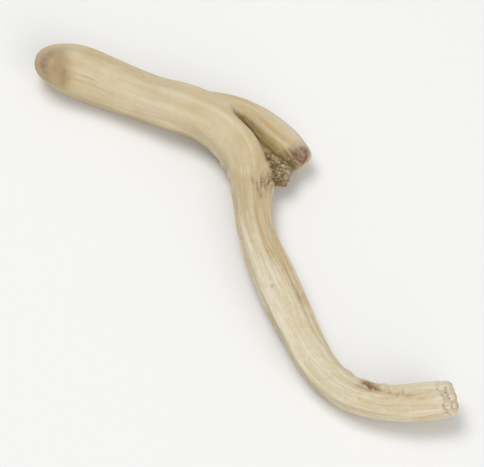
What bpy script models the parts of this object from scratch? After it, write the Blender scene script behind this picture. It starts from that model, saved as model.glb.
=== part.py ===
"""One dried safed musli root, lying on its side as it would on a table.

The root grew as one piece and is one solid: a round-ended body, a side finger fused to the body
along a furrow, a torn stub in the crook below the finger, a narrow neck, and a slender tail that
hooks sideways to a blunt broken end.
It rests on three small flats, under the body, under the neck and under the bend of the tail.

Frame: metres, +Z up. X runs from the head to the broken end, and +Y is the finger's side.
The origin is at the middle of the root's box, on the surface that it lies on.
"""

import math
from typing import NamedTuple

import bmesh
import bpy
import numpy as np

MM = 0.001

OBJECT_NAME = "safed_musli_root"
NODE_NAME = "root"

# Colour and finish of the peeled, dried flesh
FLESH_COLOUR = (0.66, 0.53, 0.34, 1.0)
FLESH_ROUGHNESS = 0.72


class Section(NamedTuple):
    """Where the middle of a cross-section lies, and its full width and height, in millimetres."""

    x: float
    y: float
    z: float
    width: float
    height: float


def turn_between(angle, centre):
    """The signed turn in degrees from centre to angle, the short way round."""
    return (angle - centre + 180.0) % 360.0 - 180.0


class Furrow(NamedTuple):
    """A groove along a tube, or a ridge where the depth is negative.

    Lengths are in millimetres from the tube's start. Angles are in degrees round the section:
    0 on the finger's side, 90 on top, 180 on the far side and 270 underneath.
    """

    start: float
    end: float
    angle_start: float
    angle_end: float
    half_width: float
    depth: float

    def offset(self, along, angle, radius):
        """How far this mark moves the surface outwards, in millimetres."""
        share = np.clip((along - self.start) / (self.end - self.start), 0.0, 1.0)
        centre = self.angle_start + share * (self.angle_end - self.angle_start)
        across = radius * np.radians(turn_between(angle, centre))
        return -self.depth * np.sin(math.pi * share) * np.exp(-((across / self.half_width) ** 2))


class Dent(NamedTuple):
    """A round hollow, or a knob where the depth is negative, in millimetres and degrees."""

    along: float
    angle: float
    radius: float
    depth: float

    def offset(self, along, angle, radius):
        """How far this mark moves the surface outwards, in millimetres."""
        across = radius * np.radians(turn_between(angle, self.angle))
        distance = np.hypot(along - self.along, across)
        return -self.depth * np.exp(-((distance / self.radius) ** 2))


class Folds(NamedTuple):
    """Short cross wrinkles on the inner side of a bend, in millimetres and degrees."""

    along: float
    angle: float
    reach: float
    spread: float
    pitch: float
    depth: float

    def offset(self, along, angle, radius):
        """How far this mark moves the surface outwards, in millimetres."""
        across = radius * np.radians(turn_between(angle, self.angle))
        ahead = along - self.along
        near = np.exp(-((ahead / self.reach) ** 2) - (across / self.spread) ** 2)
        return -self.depth * near * (0.5 + 0.5 * np.cos(math.tau * ahead / self.pitch))


class Ribs(NamedTuple):
    """Soft long ribs left by drying: their count round the section, height in mm and slow drift."""

    count: int
    height: float
    phase: float
    drift: float
    beat: float

    def offset(self, along, angle, radius):
        """How far this mark moves the surface outwards, in millimetres."""
        strength = 0.65 + 0.35 * np.sin(math.tau * along / self.beat + self.phase)
        turn = np.radians(self.count * angle) + self.phase + self.drift * along
        return self.height * strength * np.cos(turn)


class Tube(NamedTuple):
    """A swept, tapering, closed form: its sections, its two caps and the marks on its surface.

    A cap's length is in millimetres and its power is 2 for a round cap, more for a blunt one.
    sides counts the facets round a section, and rings those of the first cap, shaft and last cap.
    The last cap is dished by end_dish and its rim stands ragged by end_rough, in millimetres.
    """

    sections: tuple
    first_cap: float
    first_power: float
    last_cap: float
    last_power: float
    sides: int
    rings: tuple
    marks: tuple
    end_dish: float
    end_rough: float


# The main root, head first. x is measured from the head's tip. The lowest sections dip just below
# zero and are pressed flat there, which makes the three resting spots.
ROOT_SECTIONS = (
    Section(0.0, 0.6, 3.55, 6.9, 5.9),
    Section(4.2, 3.2, 3.10, 6.9, 5.9),
    Section(10.6, 5.5, 2.66, 6.6, 5.8),
    Section(18.6, 7.9, 3.25, 6.2, 5.5),
    Section(24.6, 9.3, 3.10, 6.6, 5.8),
    Section(29.0, 8.4, 2.63, 6.7, 5.8),
    Section(32.4, 5.5, 2.60, 5.3, 4.7),
    Section(36.2, 1.8, 2.95, 4.4, 4.0),
    Section(43.8, -2.6, 3.05, 5.3, 4.6),
    Section(51.6, -6.2, 2.45, 5.1, 4.5),
    Section(57.6, -8.2, 2.05, 5.0, 4.4),
    Section(62.6, -8.1, 2.15, 4.8, 4.3),
    Section(67.0, -6.0, 2.65, 4.8, 4.2),
    Section(70.2, -2.9, 3.10, 5.0, 4.1),
    Section(72.2, 0.0, 3.40, 4.6, 3.8),
)

# The side finger, from inside the body to its blunt tip
FINGER_SECTIONS = (
    Section(17.0, 8.8, 3.40, 2.2, 2.2),
    Section(21.5, 11.4, 3.45, 3.5, 3.5),
    Section(25.5, 12.6, 3.25, 4.3, 4.2),
    Section(29.0, 12.8, 3.00, 4.8, 4.2),
    Section(32.0, 12.8, 2.75, 4.4, 3.8),
    Section(34.6, 12.4, 2.50, 3.6, 3.2),
)

# The torn stub in the crook between the neck and the finger, from inside the neck outwards
STUB_SECTIONS = (
    Section(30.4, 7.6, 2.70, 3.0, 2.4),
    Section(32.0, 8.8, 2.70, 3.8, 2.5),
    Section(33.4, 9.5, 2.60, 3.5, 2.4),
    Section(34.7, 9.9, 2.45, 2.9, 2.0),
)

ROOT_MARKS = (
    # Long ribs all round
    Ribs(2, 0.11, 0.4, 0.021, 61.0),
    Ribs(3, 0.13, 2.1, -0.034, 47.0),
    Ribs(5, 0.10, 4.0, 0.043, 33.0),
    Ribs(8, 0.07, 1.2, -0.052, 21.0),
    # Furrows of the body
    Furrow(8.0, 30.0, 118.0, 98.0, 0.60, 0.22),
    Furrow(2.5, 24.0, 178.0, 160.0, 0.70, 0.22),
    Furrow(12.0, 34.0, 222.0, 246.0, 0.60, 0.38),
    Furrow(2.0, 18.0, 18.0, 36.0, 0.65, 0.28),
    # The web where the finger leaves the body, and the furrow below it
    Furrow(15.0, 27.5, 50.0, 46.0, 1.30, -0.50),
    Furrow(24.8, 34.2, 54.0, 30.0, 0.85, 0.75),
    # Furrows and ridges of the neck and the tail
    Furrow(30.0, 54.0, 60.0, 92.0, 0.55, 0.30),
    Furrow(37.0, 68.0, 126.0, 150.0, 0.60, -0.20),
    Furrow(40.0, 66.0, 180.0, 170.0, 0.55, 0.26),
    Furrow(44.0, 72.0, 20.0, 6.0, 0.50, 0.32),
    Furrow(36.0, 60.0, 302.0, 282.0, 0.55, 0.32),
    # The groove on top of the broken end, under a raised lip
    Furrow(66.5, 82.0, 70.0, 94.0, 0.60, 0.55),
    Furrow(65.0, 86.0, 34.0, 52.0, 0.60, -0.30),
    # Worn hollow on the head, and shallow dents
    Dent(3.3, 118.0, 1.5, 0.26),
    Dent(15.5, 84.0, 2.4, 0.20),
    Dent(22.0, 196.0, 2.2, 0.26),
    Dent(47.0, 108.0, 2.0, 0.18),
    Dent(58.5, 70.0, 2.2, 0.22),
    # Rootlet scars: low knobs beside the neck and on the hidden side
    Dent(33.6, 34.0, 1.0, -0.42),
    Dent(18.5, 262.0, 1.1, -0.30),
    Dent(54.0, 318.0, 1.0, -0.36),
    # Cross wrinkles inside the bends of the neck and the tail
    Folds(31.8, 196.0, 3.4, 2.2, 3.1, 0.34),
    Folds(68.6, 352.0, 4.2, 1.9, 3.3, 0.30),
)

FINGER_MARKS = (
    Ribs(3, 0.09, 0.9, 0.060, 19.0),
    Ribs(5, 0.06, 2.6, -0.080, 11.0),
    Furrow(5.0, 19.5, 60.0, 74.0, 0.45, 0.20),
    # The shrunken scar on top of the tip
    Dent(17.7, 92.0, 1.2, 0.40),
)

STUB_MARKS = (
    Ribs(3, 0.12, 1.7, 0.900, 5.0),
)

ROOT = Tube(
    sections=ROOT_SECTIONS,
    first_cap=7.4,
    first_power=2.25,
    last_cap=1.7,
    last_power=2.7,
    sides=40,
    rings=(11, 74, 9),
    marks=ROOT_MARKS,
    end_dish=0.45,
    end_rough=0.28,
)

FINGER = Tube(
    sections=FINGER_SECTIONS,
    first_cap=1.5,
    first_power=2.0,
    last_cap=1.5,
    last_power=2.5,
    sides=22,
    rings=(3, 20, 6),
    marks=FINGER_MARKS,
    end_dish=0.16,
    end_rough=0.20,
)

STUB = Tube(
    sections=STUB_SECTIONS,
    first_cap=1.0,
    first_power=2.0,
    last_cap=0.6,
    last_power=3.0,
    sides=16,
    rings=(3, 8, 5),
    marks=STUB_MARKS,
    end_dish=0.30,
    end_rough=0.35,
)

# The ragged rim: waves round the end as (count, phase, share of the roughness)
RIM_WAVES = ((2, 0.7, 0.45), (3, 2.9, 0.35), (7, 1.1, 0.20))

# How finely a centreline is sampled before distances are measured along it
ROUTE_SAMPLES = 801

# Edges that bend more sharply than this are shaded as creases
CREASE_ANGLE = math.radians(48.0)


def spline_through(knots, rows, at):
    """Evaluates the natural cubic spline through one row of numbers for each knot."""
    gaps = np.diff(knots)
    slopes = np.diff(rows, axis=0) / gaps[:, None]
    system = np.eye(len(knots))
    target = np.zeros_like(rows)
    for i in range(1, len(knots) - 1):
        system[i, i - 1] = gaps[i - 1]
        system[i, i] = 2.0 * (gaps[i - 1] + gaps[i])
        system[i, i + 1] = gaps[i]
        target[i] = 6.0 * (slopes[i] - slopes[i - 1])
    bends = np.linalg.solve(system, target)
    span = np.clip(np.searchsorted(knots, at) - 1, 0, len(gaps) - 1)
    right = ((at - knots[span]) / gaps[span])[:, None]
    left = 1.0 - right
    bow = (left**3 - left) * bends[span] + (right**3 - right) * bends[span + 1]
    return left * rows[span] + right * rows[span + 1] + bow * gaps[span][:, None] ** 2 / 6.0


class Route:
    """The smooth curve through the middles of a tube's sections, measured along its length."""

    def __init__(self, sections):
        rows = np.array(sections)
        chords = np.linalg.norm(np.diff(rows[:, :3], axis=0), axis=1)
        knots = np.concatenate(([0.0], np.cumsum(chords)))
        at = np.linspace(0.0, knots[-1], ROUTE_SAMPLES)
        self.rows = spline_through(knots, rows, at)
        steps = np.linalg.norm(np.diff(self.rows[:, :3], axis=0), axis=1)
        self.distances = np.concatenate(([0.0], np.cumsum(steps)))
        self.length = self.distances[-1]
        headings = np.gradient(self.rows[:, :3], self.distances, axis=0)
        self.headings = headings / np.linalg.norm(headings, axis=1)[:, None]

    def _interpolate(self, columns, along):
        """Columns of numbers at the given distances along the curve."""
        return np.stack([np.interp(along, self.distances, column) for column in columns.T], axis=1)

    def frame_at(self, along):
        """Middles, headings, side and up directions, widths and heights at some distances."""
        rows = self._interpolate(self.rows, along)
        heading = self._interpolate(self.headings, along)
        side = np.cross((0.0, 0.0, 1.0), heading)
        side /= np.linalg.norm(side, axis=1)[:, None]
        up = np.cross(heading, side)
        return rows[:, :3], heading, side, up, rows[:, 3], rows[:, 4]


def outline_of(tube, length, share):
    """Distance along, share of the full section and turn over the end, for each share of the rings."""
    first, shaft, last = tube.rings
    ring = share * (first + shaft + last)
    first_turn = np.clip(ring / first, 0.0, 1.0) * math.pi / 2
    last_turn = np.clip((ring - first - shaft) / last, 0.0, 1.0) * math.pi / 2
    middle = np.clip((ring - first) / shaft, 0.0, 1.0)
    first_run = tube.first_cap * (1.0 - np.cos(first_turn) ** (2.0 / tube.first_power))
    last_run = tube.last_cap * np.sin(last_turn) ** (2.0 / tube.last_power)
    along = first_run + middle * (length - tube.first_cap - tube.last_cap) + last_run
    first_size = np.sin(first_turn) ** (2.0 / tube.first_power)
    last_size = np.cos(last_turn) ** (2.0 / tube.last_power)
    return along, first_size * last_size, last_turn


def swept_tube(name, tube):
    """Makes a tube's mesh in millimetres: a round ball drawn out along the tube's route."""
    bm = bmesh.new()
    bmesh.ops.create_uvsphere(bm, u_segments=tube.sides, v_segments=sum(tube.rings), radius=1.0)
    ball = np.array([vertex.co for vertex in bm.verts])
    ring_share = np.arccos(np.clip(-ball[:, 2], -1.0, 1.0)) / math.pi
    turn = np.arctan2(ball[:, 1], ball[:, 0])
    route = Route(tube.sections)
    along, size, last_turn = outline_of(tube, route.length, ring_share)
    middle, heading, side, up, width, height = route.frame_at(along)
    radius = (width + height) / 4.0
    marks = sum(mark.offset(along, np.degrees(turn), radius) for mark in tube.marks)
    reach = size * (1.0 + marks / radius)
    rim = sum(part * np.cos(count * turn + phase) for count, phase, part in RIM_WAVES)
    sunk = np.sin(last_turn) * (tube.end_dish * (1.0 - size**2) + tube.end_rough * size * rim)
    points = (
        middle
        + side * (reach * width / 2.0 * np.cos(turn))[:, None]
        + up * (reach * height / 2.0 * np.sin(turn))[:, None]
        - heading * sunk[:, None]
    )
    for vertex, point in zip(bm.verts, points):
        vertex.co = point
    mesh = bpy.data.meshes.new(name)
    bm.to_mesh(mesh)
    bm.free()
    return mesh


def add_object(name, mesh, collection):
    """Puts a mesh in the scene as an object of the given name."""
    thing = bpy.data.objects.new(name, mesh)
    collection.objects.link(thing)
    return thing


def join_by_union(body, limb):
    """Fuses limb into body with a Boolean union, and removes the limb's own object."""
    union = body.modifiers.new("join", "BOOLEAN")
    union.operation = "UNION"
    union.solver = "EXACT"
    union.object = limb
    evaluated = body.evaluated_get(bpy.context.evaluated_depsgraph_get())
    fused = bpy.data.meshes.new_from_object(evaluated)
    body.modifiers.clear()
    body.data = fused
    bpy.data.objects.remove(limb)


def settle(mesh):
    """Presses the underside flat at zero and moves the origin to the bottom middle of the box."""
    points = np.array([vertex.co for vertex in mesh.vertices])
    points[:, 2] = np.maximum(points[:, 2], 0.0)
    middle = (points.min(axis=0) + points.max(axis=0)) / 2.0
    middle[2] = 0.0
    points = (points - middle) * MM
    mesh.vertices.foreach_set("co", points.ravel())
    mesh.update()


def flesh_material():
    """The pale, matt, dried flesh."""
    material = bpy.data.materials.new("dried_root")
    material.use_nodes = True
    shader = material.node_tree.nodes["Principled BSDF"]
    shader.inputs["Base Color"].default_value = FLESH_COLOUR
    shader.inputs["Roughness"].default_value = FLESH_ROUGHNESS
    shader.inputs["Metallic"].default_value = 0.0
    material.diffuse_color = FLESH_COLOUR
    return material


def clear_scene():
    """Removes what the scene holds at the start."""
    for thing in list(bpy.data.objects):
        bpy.data.objects.remove(thing)


def main():
    """Builds the root."""
    clear_scene()
    collection = bpy.data.collections.new(OBJECT_NAME)
    bpy.context.scene.collection.children.link(collection)
    root = add_object(NODE_NAME, swept_tube(NODE_NAME, ROOT), collection)
    for name, limb in (("finger", FINGER), ("stub", STUB)):
        join_by_union(root, add_object(name, swept_tube(name, limb), collection))
    settle(root.data)
    root.data.materials.clear()
    root.data.materials.append(flesh_material())
    root.data.shade_smooth()
    root.data.set_sharp_from_angle(angle=CREASE_ANGLE)


main()
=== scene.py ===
"""The finished look of one dried safed musli root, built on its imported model.

The root grew as one piece, so one fine mesh stands for the one solid. It is drawn out along the
same sections as the solid and carries the same furrows, with the finer wrinkles, cracks, pits,
flakes and crumbled flesh added. A second mesh holds the torn fibres that stand on it.
Lengths are in millimetres until a mesh is settled in the model's frame, which is in metres.
"""

import logging
import math
from collections.abc import Sequence
from dataclasses import astuple, dataclass, field, replace
from enum import Enum
from typing import ClassVar

import bpy
import numpy as np
from mathutils import Matrix, Vector, kdtree


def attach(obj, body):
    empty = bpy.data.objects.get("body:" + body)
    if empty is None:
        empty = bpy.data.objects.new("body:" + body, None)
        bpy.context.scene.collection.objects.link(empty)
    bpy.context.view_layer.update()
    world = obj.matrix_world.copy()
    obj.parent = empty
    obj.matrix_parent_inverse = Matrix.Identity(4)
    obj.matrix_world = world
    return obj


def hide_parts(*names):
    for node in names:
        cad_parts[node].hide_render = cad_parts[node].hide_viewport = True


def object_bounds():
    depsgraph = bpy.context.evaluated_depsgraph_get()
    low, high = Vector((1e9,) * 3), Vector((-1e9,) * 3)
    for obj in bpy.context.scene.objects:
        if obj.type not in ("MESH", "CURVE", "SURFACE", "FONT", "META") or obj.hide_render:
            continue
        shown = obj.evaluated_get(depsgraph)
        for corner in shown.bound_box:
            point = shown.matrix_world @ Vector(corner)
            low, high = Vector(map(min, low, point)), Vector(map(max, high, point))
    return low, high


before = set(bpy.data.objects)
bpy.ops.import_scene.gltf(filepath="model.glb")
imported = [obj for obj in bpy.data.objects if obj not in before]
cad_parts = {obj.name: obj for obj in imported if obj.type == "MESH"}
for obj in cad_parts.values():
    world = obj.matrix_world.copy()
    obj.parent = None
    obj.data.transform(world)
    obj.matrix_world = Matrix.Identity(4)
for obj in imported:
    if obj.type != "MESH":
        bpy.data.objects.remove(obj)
CAD_LOW, CAD_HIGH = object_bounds()

LOG = logging.getLogger("safed_musli_root")

MM = 0.001
CAD_NODE = "root"
CAD_BODY = "root"

# How finely a centreline is sampled before distances are measured along it
ROUTE_SAMPLES = 1601

# The step in share and in radians that finds which way a surface faces
STANCE_STEP = 0.002

# The mean radius of the tubes, which turns a cell's width into a count round the section
USUAL_RADIUS = 2.8

# Points of a rolled sheet nearer to each other than this are merged, in mm
MERGE_GAP = 1e-5

# The attributes that hold each point's place on the straightened tube, and 1 where it has one
GRAIN = "grain"
KNOWN = "known"

# The attribute that says how dark a fibre is
SHADE = "shade"

# The attribute that says how far the long fibres show, its share on the smooth body, and where
# along the root it rises to its full share, in mm
STRINGY = "stringy"
STRINGY_BODY = 0.25
STRINGY_FROM = 28.0
STRINGY_TO = 42.0

Array = np.ndarray
Socket = bpy.types.NodeSocket
Sizes = tuple[float, ...]
Colour = tuple[float, ...]
Range = tuple[float, float]


def turn_between(angle: Array, centre: Array | float) -> Array:
    """The signed turn in degrees from centre to angle, the short way round."""
    return (angle - centre + 180.0) % 360.0 - 180.0


def eased(share: Array) -> Array:
    """A share from 0 to 1 with its two ends made level."""
    return share * share * (3.0 - 2.0 * share)


def share_between(value: Array, start: float, end: float) -> Array:
    """How far each value has come from start to end, held between 0 and 1."""
    return np.clip((value - start) / (end - start), 0.0, 1.0)


def bell(distance: Array, width: Array | float, power: int = 2) -> Array:
    """A soft hill of height 1 over a distance. A power of 4 gives it a flatter top."""
    return np.exp(-((distance / width) ** power))


@dataclass(frozen=True)
class Place:
    """Where points lie on a tube: distance along it in mm, angle round in degrees, radius in mm."""

    along: Array
    angle: Array
    radius: Array

    def across(self, angle: Array | float) -> Array:
        """The distance round the section from a line at some angle, in mm."""
        return self.radius * np.radians(turn_between(self.angle, angle))


@dataclass(frozen=True)
class Section:
    """Where the middle of a cross-section lies, and its full width and height, in mm."""

    x: float
    y: float
    z: float
    width: float
    height: float


class Mark:
    """Something that shapes a tube's surface."""

    def offset(self, place: Place) -> Array:
        """How far the mark moves the surface outwards at each point, in mm."""
        raise NotImplementedError


@dataclass(frozen=True)
class Furrow(Mark):
    """A groove along the tube, or a ridge where the depth is negative, in mm and degrees."""

    start: float
    end: float
    angle_start: float
    angle_end: float
    half_width: float
    depth: float

    def line(self, place: Place, widen: float = 1.0) -> Array:
        """How near each point is to the groove.

        Args:
            place: where the points lie on the tube.
            widen: what the groove's width is multiplied by.

        Returns:
            A share from 0 to 1 for each point.
        """
        share = share_between(place.along, self.start, self.end)
        across = place.across(self.angle_start + share * (self.angle_end - self.angle_start))
        return np.sin(math.pi * share) * bell(across, widen * self.half_width)

    def offset(self, place: Place) -> Array:
        """How far the groove sinks the surface."""
        return -self.depth * self.line(place)


@dataclass(frozen=True)
class Dent(Mark):
    """A round hollow, or a knob where the depth is negative, in mm and degrees."""

    along: float
    angle: float
    radius: float
    depth: float

    def offset(self, place: Place) -> Array:
        """How far the hollow sinks the surface."""
        distance = np.hypot(place.along - self.along, place.across(self.angle))
        return -self.depth * bell(distance, self.radius)


@dataclass(frozen=True)
class Scar(Mark):
    """A shallow dish with a faint raised rim, in mm and degrees."""

    along: float
    angle: float
    along_radius: float
    across_radius: float
    depth: float
    rim: float

    # The widths of the raised rim and of the dish, where the rim lies at 1
    rim_width: ClassVar[float] = 0.24
    dish_width: ClassVar[float] = 0.8

    def polar(self, place: Place) -> tuple[Array, Array]:
        """Where points lie as seen from the scar's middle.

        Args:
            place: where the points lie on the tube.

        Returns:
            How far out each point lies, where 1 is on the rim, and its bearing in radians.
        """
        ahead = (place.along - self.along) / self.along_radius
        across = place.across(self.angle) / self.across_radius
        return np.hypot(ahead, across), np.arctan2(across, ahead)

    def offset(self, place: Place) -> Array:
        """How far the dish sinks the surface and its rim lifts it."""
        out = self.polar(place)[0]
        return self.rim * bell(out - 1.0, self.rim_width) - self.depth * bell(out, self.dish_width, 4)


@dataclass(frozen=True)
class Folds(Mark):
    """Short cross wrinkles on the inner side of a bend, in mm and degrees."""

    along: float
    angle: float
    reach: float
    spread: float
    pitch: float
    depth: float

    def offset(self, place: Place) -> Array:
        """How far the wrinkles sink the surface.

        Args:
            place: where the points lie on the tube.

        Returns:
            One offset in mm for each point.
        """
        ahead = place.along - self.along
        near = np.exp(-((ahead / self.reach) ** 2) - (place.across(self.angle) / self.spread) ** 2)
        return -self.depth * near * (0.5 + 0.5 * np.cos(math.tau * ahead / self.pitch))


@dataclass(frozen=True)
class Ribs(Mark):
    """Soft long ribs left by drying: their count round the section, height in mm and drift."""

    count: int
    height: float
    phase: float
    drift: float
    beat: float

    # How far a rib's height rises and falls along it, as a share of the height
    swell: ClassVar[float] = 0.35

    def offset(self, place: Place) -> Array:
        """How far the ribs lift the surface.

        Args:
            place: where the points lie on the tube.

        Returns:
            One offset in mm for each point.
        """
        wave = np.sin(math.tau * place.along / self.beat + self.phase)
        turn = np.radians(self.count * place.angle) + self.phase + self.drift * place.along
        return self.height * (1.0 - self.swell + self.swell * wave) * np.cos(turn)


@dataclass(frozen=True)
class Facet(Mark):
    """A flat that the peeling knife left along the tube, in mm and degrees."""

    start: float
    end: float
    angle_start: float
    angle_end: float
    cut: float

    # How fast the cut deepens from its ends, and the smallest cosine that a point is cut with
    run_in: ClassVar[float] = 0.7
    least_cosine: ClassVar[float] = 0.2

    def offset(self, place: Place) -> Array:
        """How far the flat cuts into the round surface.

        Args:
            place: where the points lie on the tube.

        Returns:
            One offset in mm for each point.
        """
        share = share_between(place.along, self.start, self.end)
        middle = self.angle_start + share * (self.angle_end - self.angle_start)
        turn = np.radians(turn_between(place.angle, middle))
        cut = self.cut * np.sin(math.pi * share) ** self.run_in
        chord = (place.radius - cut) / np.maximum(np.cos(turn), self.least_cosine)
        return -np.maximum(place.radius - chord, 0.0)


@dataclass(frozen=True)
class Crack(Mark):
    """A thin crack across the tube, or a lip where the depth is negative, in mm and degrees."""

    along: float
    angle: float
    reach: float
    lean: float
    width: float
    depth: float

    # The waves that the crack wanders in: their size in mm, pitch, and shift with the place along
    waves: ClassVar[tuple[tuple[float, ...], ...]] = ((0.10, 5.3, 9.0), (0.07, 12.1, 4.0))

    def line(self, place: Place, widen: float = 1.0) -> Array:
        """How near each point is to the crack.

        Args:
            place: where the points lie on the tube.
            widen: what the crack's width is multiplied by.

        Returns:
            A share from 0 to 1 for each point.
        """
        across = place.across(self.angle)
        wander = sum(size * np.sin(pitch * across + shift * self.along) for size, pitch, shift in self.waves)
        middle = self.along + self.lean * across + wander
        return bell(across, self.reach, 4) * bell(place.along - middle, widen * self.width)

    def offset(self, place: Place) -> Array:
        """How far the crack sinks the surface."""
        return -self.depth * self.line(place)


@dataclass(frozen=True)
class Flake(Mark):
    """A thin flake of skin that lifts towards its ragged far edge, in mm and degrees."""

    along: float
    angle: float
    length: float
    spread: float
    lift: float
    rag: float

    # The pitches of the ragged edge's two waves, the fine one's share and phase, and how steeply
    # the flake rises
    pitches: ClassVar[Range] = (4.1, 9.7)
    fine_share: ClassVar[float] = 0.6
    fine_phase: ClassVar[float] = 2.0
    rise: ClassVar[float] = 1.5

    def offset(self, place: Place) -> Array:
        """How far the flake lifts the surface.

        Args:
            place: where the points lie on the tube.

        Returns:
            One offset in mm for each point.
        """
        across = place.across(self.angle)
        coarse = np.sin(self.pitches[0] * across + self.along)
        ragged = coarse + self.fine_share * np.sin(self.pitches[1] * across + self.fine_phase)
        back = (self.along + self.rag * ragged - place.along) / self.length
        on_flake = (back > 0.0) & (back < 1.0)
        ramp = np.where(on_flake, np.clip(1.0 - back, 0.0, 1.0) ** self.rise, 0.0)
        return self.lift * ramp * bell(across, self.spread, 4)


@dataclass(frozen=True)
class Grain(Mark):
    """Random soft relief, drawn out along the tube: its cells' sizes and height in mm."""

    seed: int
    cell_along: float
    cell_across: float
    height: float

    # How unevenly the cells' ends lie, from 0, all in line, to 1
    stagger: ClassVar[float] = 0.0

    def noise(self, place: Place) -> Array:
        """Smooth random values that join up round the section.

        Args:
            place: where the points lie on the tube.

        Returns:
            One value between -1 and 1 for each point.
        """
        rng = np.random.default_rng(self.seed)
        columns = max(3, round(math.tau * USUAL_RADIUS / self.cell_across))
        ahead = np.maximum(place.along, 0.0) / self.cell_along
        column = (place.angle % 360.0) / 360.0 * columns
        knots = rng.uniform(-1.0, 1.0, (int(ahead.max()) + 3, columns))
        starts = self.stagger * rng.uniform(0.0, 1.0, columns)
        runs = []
        for beside in (0, 1):
            j = (column.astype(int) + beside) % columns
            row = ahead + starts[j]
            i = row.astype(int)
            down = eased(row - i)
            runs.append(knots[i, j] * (1.0 - down) + knots[i + 1, j] * down)
        over = eased(column - np.floor(column))
        return runs[0] * (1.0 - over) + runs[1] * over

    def offset(self, place: Place) -> Array:
        """How far the relief moves the surface."""
        return self.height * self.noise(place)


def stringiness(along: Array) -> Array:
    """How far the flesh shows its long fibres: little on the smooth body, fully on the tail."""
    share = share_between(along, STRINGY_FROM, STRINGY_TO)
    return STRINGY_BODY + (1.0 - STRINGY_BODY) * eased(share)


@dataclass(frozen=True)
class Strands(Grain):
    """The flesh's long fibres as relief, which stands fully only on the tail."""

    stagger: ClassVar[float] = 1.0

    def offset(self, place: Place) -> Array:
        """How far the fibres move the surface."""
        return stringiness(place.along) * super().offset(place)


@dataclass(frozen=True)
class Creases(Grain):
    """Fine wrinkles where a drawn-out noise crosses zero, in patches."""

    line: float = 0.12
    patch_along: float = 9.0
    patch_across: float = 4.0

    # The wrinkles' usual strength, and how far it swings from patch to patch
    usual: ClassVar[float] = 0.55
    swing: ClassVar[float] = 0.9

    def offset(self, place: Place) -> Array:
        """How far the wrinkles sink the surface.

        Args:
            place: where the points lie on the tube.

        Returns:
            One offset in mm for each point.
        """
        patches = Grain(self.seed + 1, self.patch_along, self.patch_across, 1.0).noise(place)
        strength = np.clip(self.usual + self.swing * patches, 0.0, 1.0)
        return -self.height * strength * bell(self.noise(place), self.line)


@dataclass(frozen=True)
class Crumbs(Mark):
    """A patch of torn, crumbled flesh: its place, spreads and height, in mm and degrees."""

    seed: int
    along: float
    angle: float
    along_spread: float
    across_spread: float
    height: float

    # The cells of the coarse and the fine crumbs in mm, the fine ones' share, and the noise's
    # level at the old surface
    coarse_cell: ClassVar[Range] = (0.75, 0.42)
    fine_cell: ClassVar[Range] = (0.45, 0.24)
    fine_share: ClassVar[float] = 0.6
    level: ClassVar[float] = 0.55

    def offset(self, place: Place) -> Array:
        """How far the crumbs lift the surface.

        Args:
            place: where the points lie on the tube.

        Returns:
            One offset in mm for each point.
        """
        ahead = (place.along - self.along) / self.along_spread
        across = place.across(self.angle) / self.across_spread
        window = np.exp(-((ahead**2 + across**2) ** 2))
        coarse = np.abs(Grain(self.seed, *self.coarse_cell, 1.0).noise(place))
        fine = np.abs(Grain(self.seed + 1, *self.fine_cell, 1.0).noise(place))
        return self.height * window * (coarse + self.fine_share * fine - self.level)


@dataclass(frozen=True)
class Tube:
    """A swept, tapering, closed form: its sections, its two caps and the marks on its surface.

    A cap's length is in mm and its power is 2 for a round cap, more for a blunt one. The last cap
    is dished by end_dish, its rim stands ragged by end_rough and the torn flesh over it stands up
    to about end_marks, in mm. The rings are counted on the first cap, the shaft and the last cap.
    """

    sections: tuple[Section, ...]
    first_cap: float
    first_power: float
    last_cap: float
    last_power: float
    sides: int
    rings: tuple[int, int, int]
    marks: tuple[Mark, ...]
    end_dish: float
    end_rough: float
    end_marks: float = 0.0


# The main root, head first. x is measured from the head's tip. The lowest sections dip just below
# zero and are pressed flat there, which makes the three resting spots.
ROOT_SECTIONS = (
    Section(0.0, 0.6, 3.55, 6.9, 5.9),
    Section(4.2, 3.2, 3.10, 6.9, 5.9),
    Section(10.6, 5.5, 2.66, 6.6, 5.8),
    Section(18.6, 7.9, 3.25, 6.2, 5.5),
    Section(24.6, 9.3, 3.10, 6.6, 5.8),
    Section(29.0, 8.4, 2.63, 6.7, 5.8),
    Section(32.4, 5.5, 2.60, 5.3, 4.7),
    Section(36.2, 1.8, 2.95, 4.4, 4.0),
    Section(43.8, -2.6, 3.05, 5.3, 4.6),
    Section(51.6, -6.2, 2.45, 5.1, 4.5),
    Section(57.6, -8.2, 2.05, 5.0, 4.4),
    Section(62.6, -8.1, 2.15, 4.8, 4.3),
    Section(67.0, -6.0, 2.65, 4.8, 4.2),
    Section(70.2, -2.9, 3.10, 5.0, 4.1),
    Section(72.2, 0.0, 3.40, 4.6, 3.8),
)

# The side finger, from inside the body to its blunt tip
FINGER_SECTIONS = (
    Section(17.0, 8.8, 3.40, 2.2, 2.2),
    Section(21.5, 11.4, 3.45, 3.5, 3.5),
    Section(25.5, 12.6, 3.25, 4.3, 4.2),
    Section(29.0, 12.8, 3.00, 4.8, 4.2),
    Section(32.0, 12.8, 2.75, 4.4, 3.8),
    Section(34.6, 12.4, 2.50, 3.6, 3.2),
)

# The torn stub in the crook between the neck and the finger, from inside the neck outwards
STUB_SECTIONS = (
    Section(30.4, 7.6, 2.70, 3.0, 2.4),
    Section(32.0, 8.8, 2.70, 3.8, 2.5),
    Section(33.4, 9.5, 2.60, 3.5, 2.4),
    Section(34.7, 9.9, 2.45, 2.9, 2.0),
)

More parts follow.
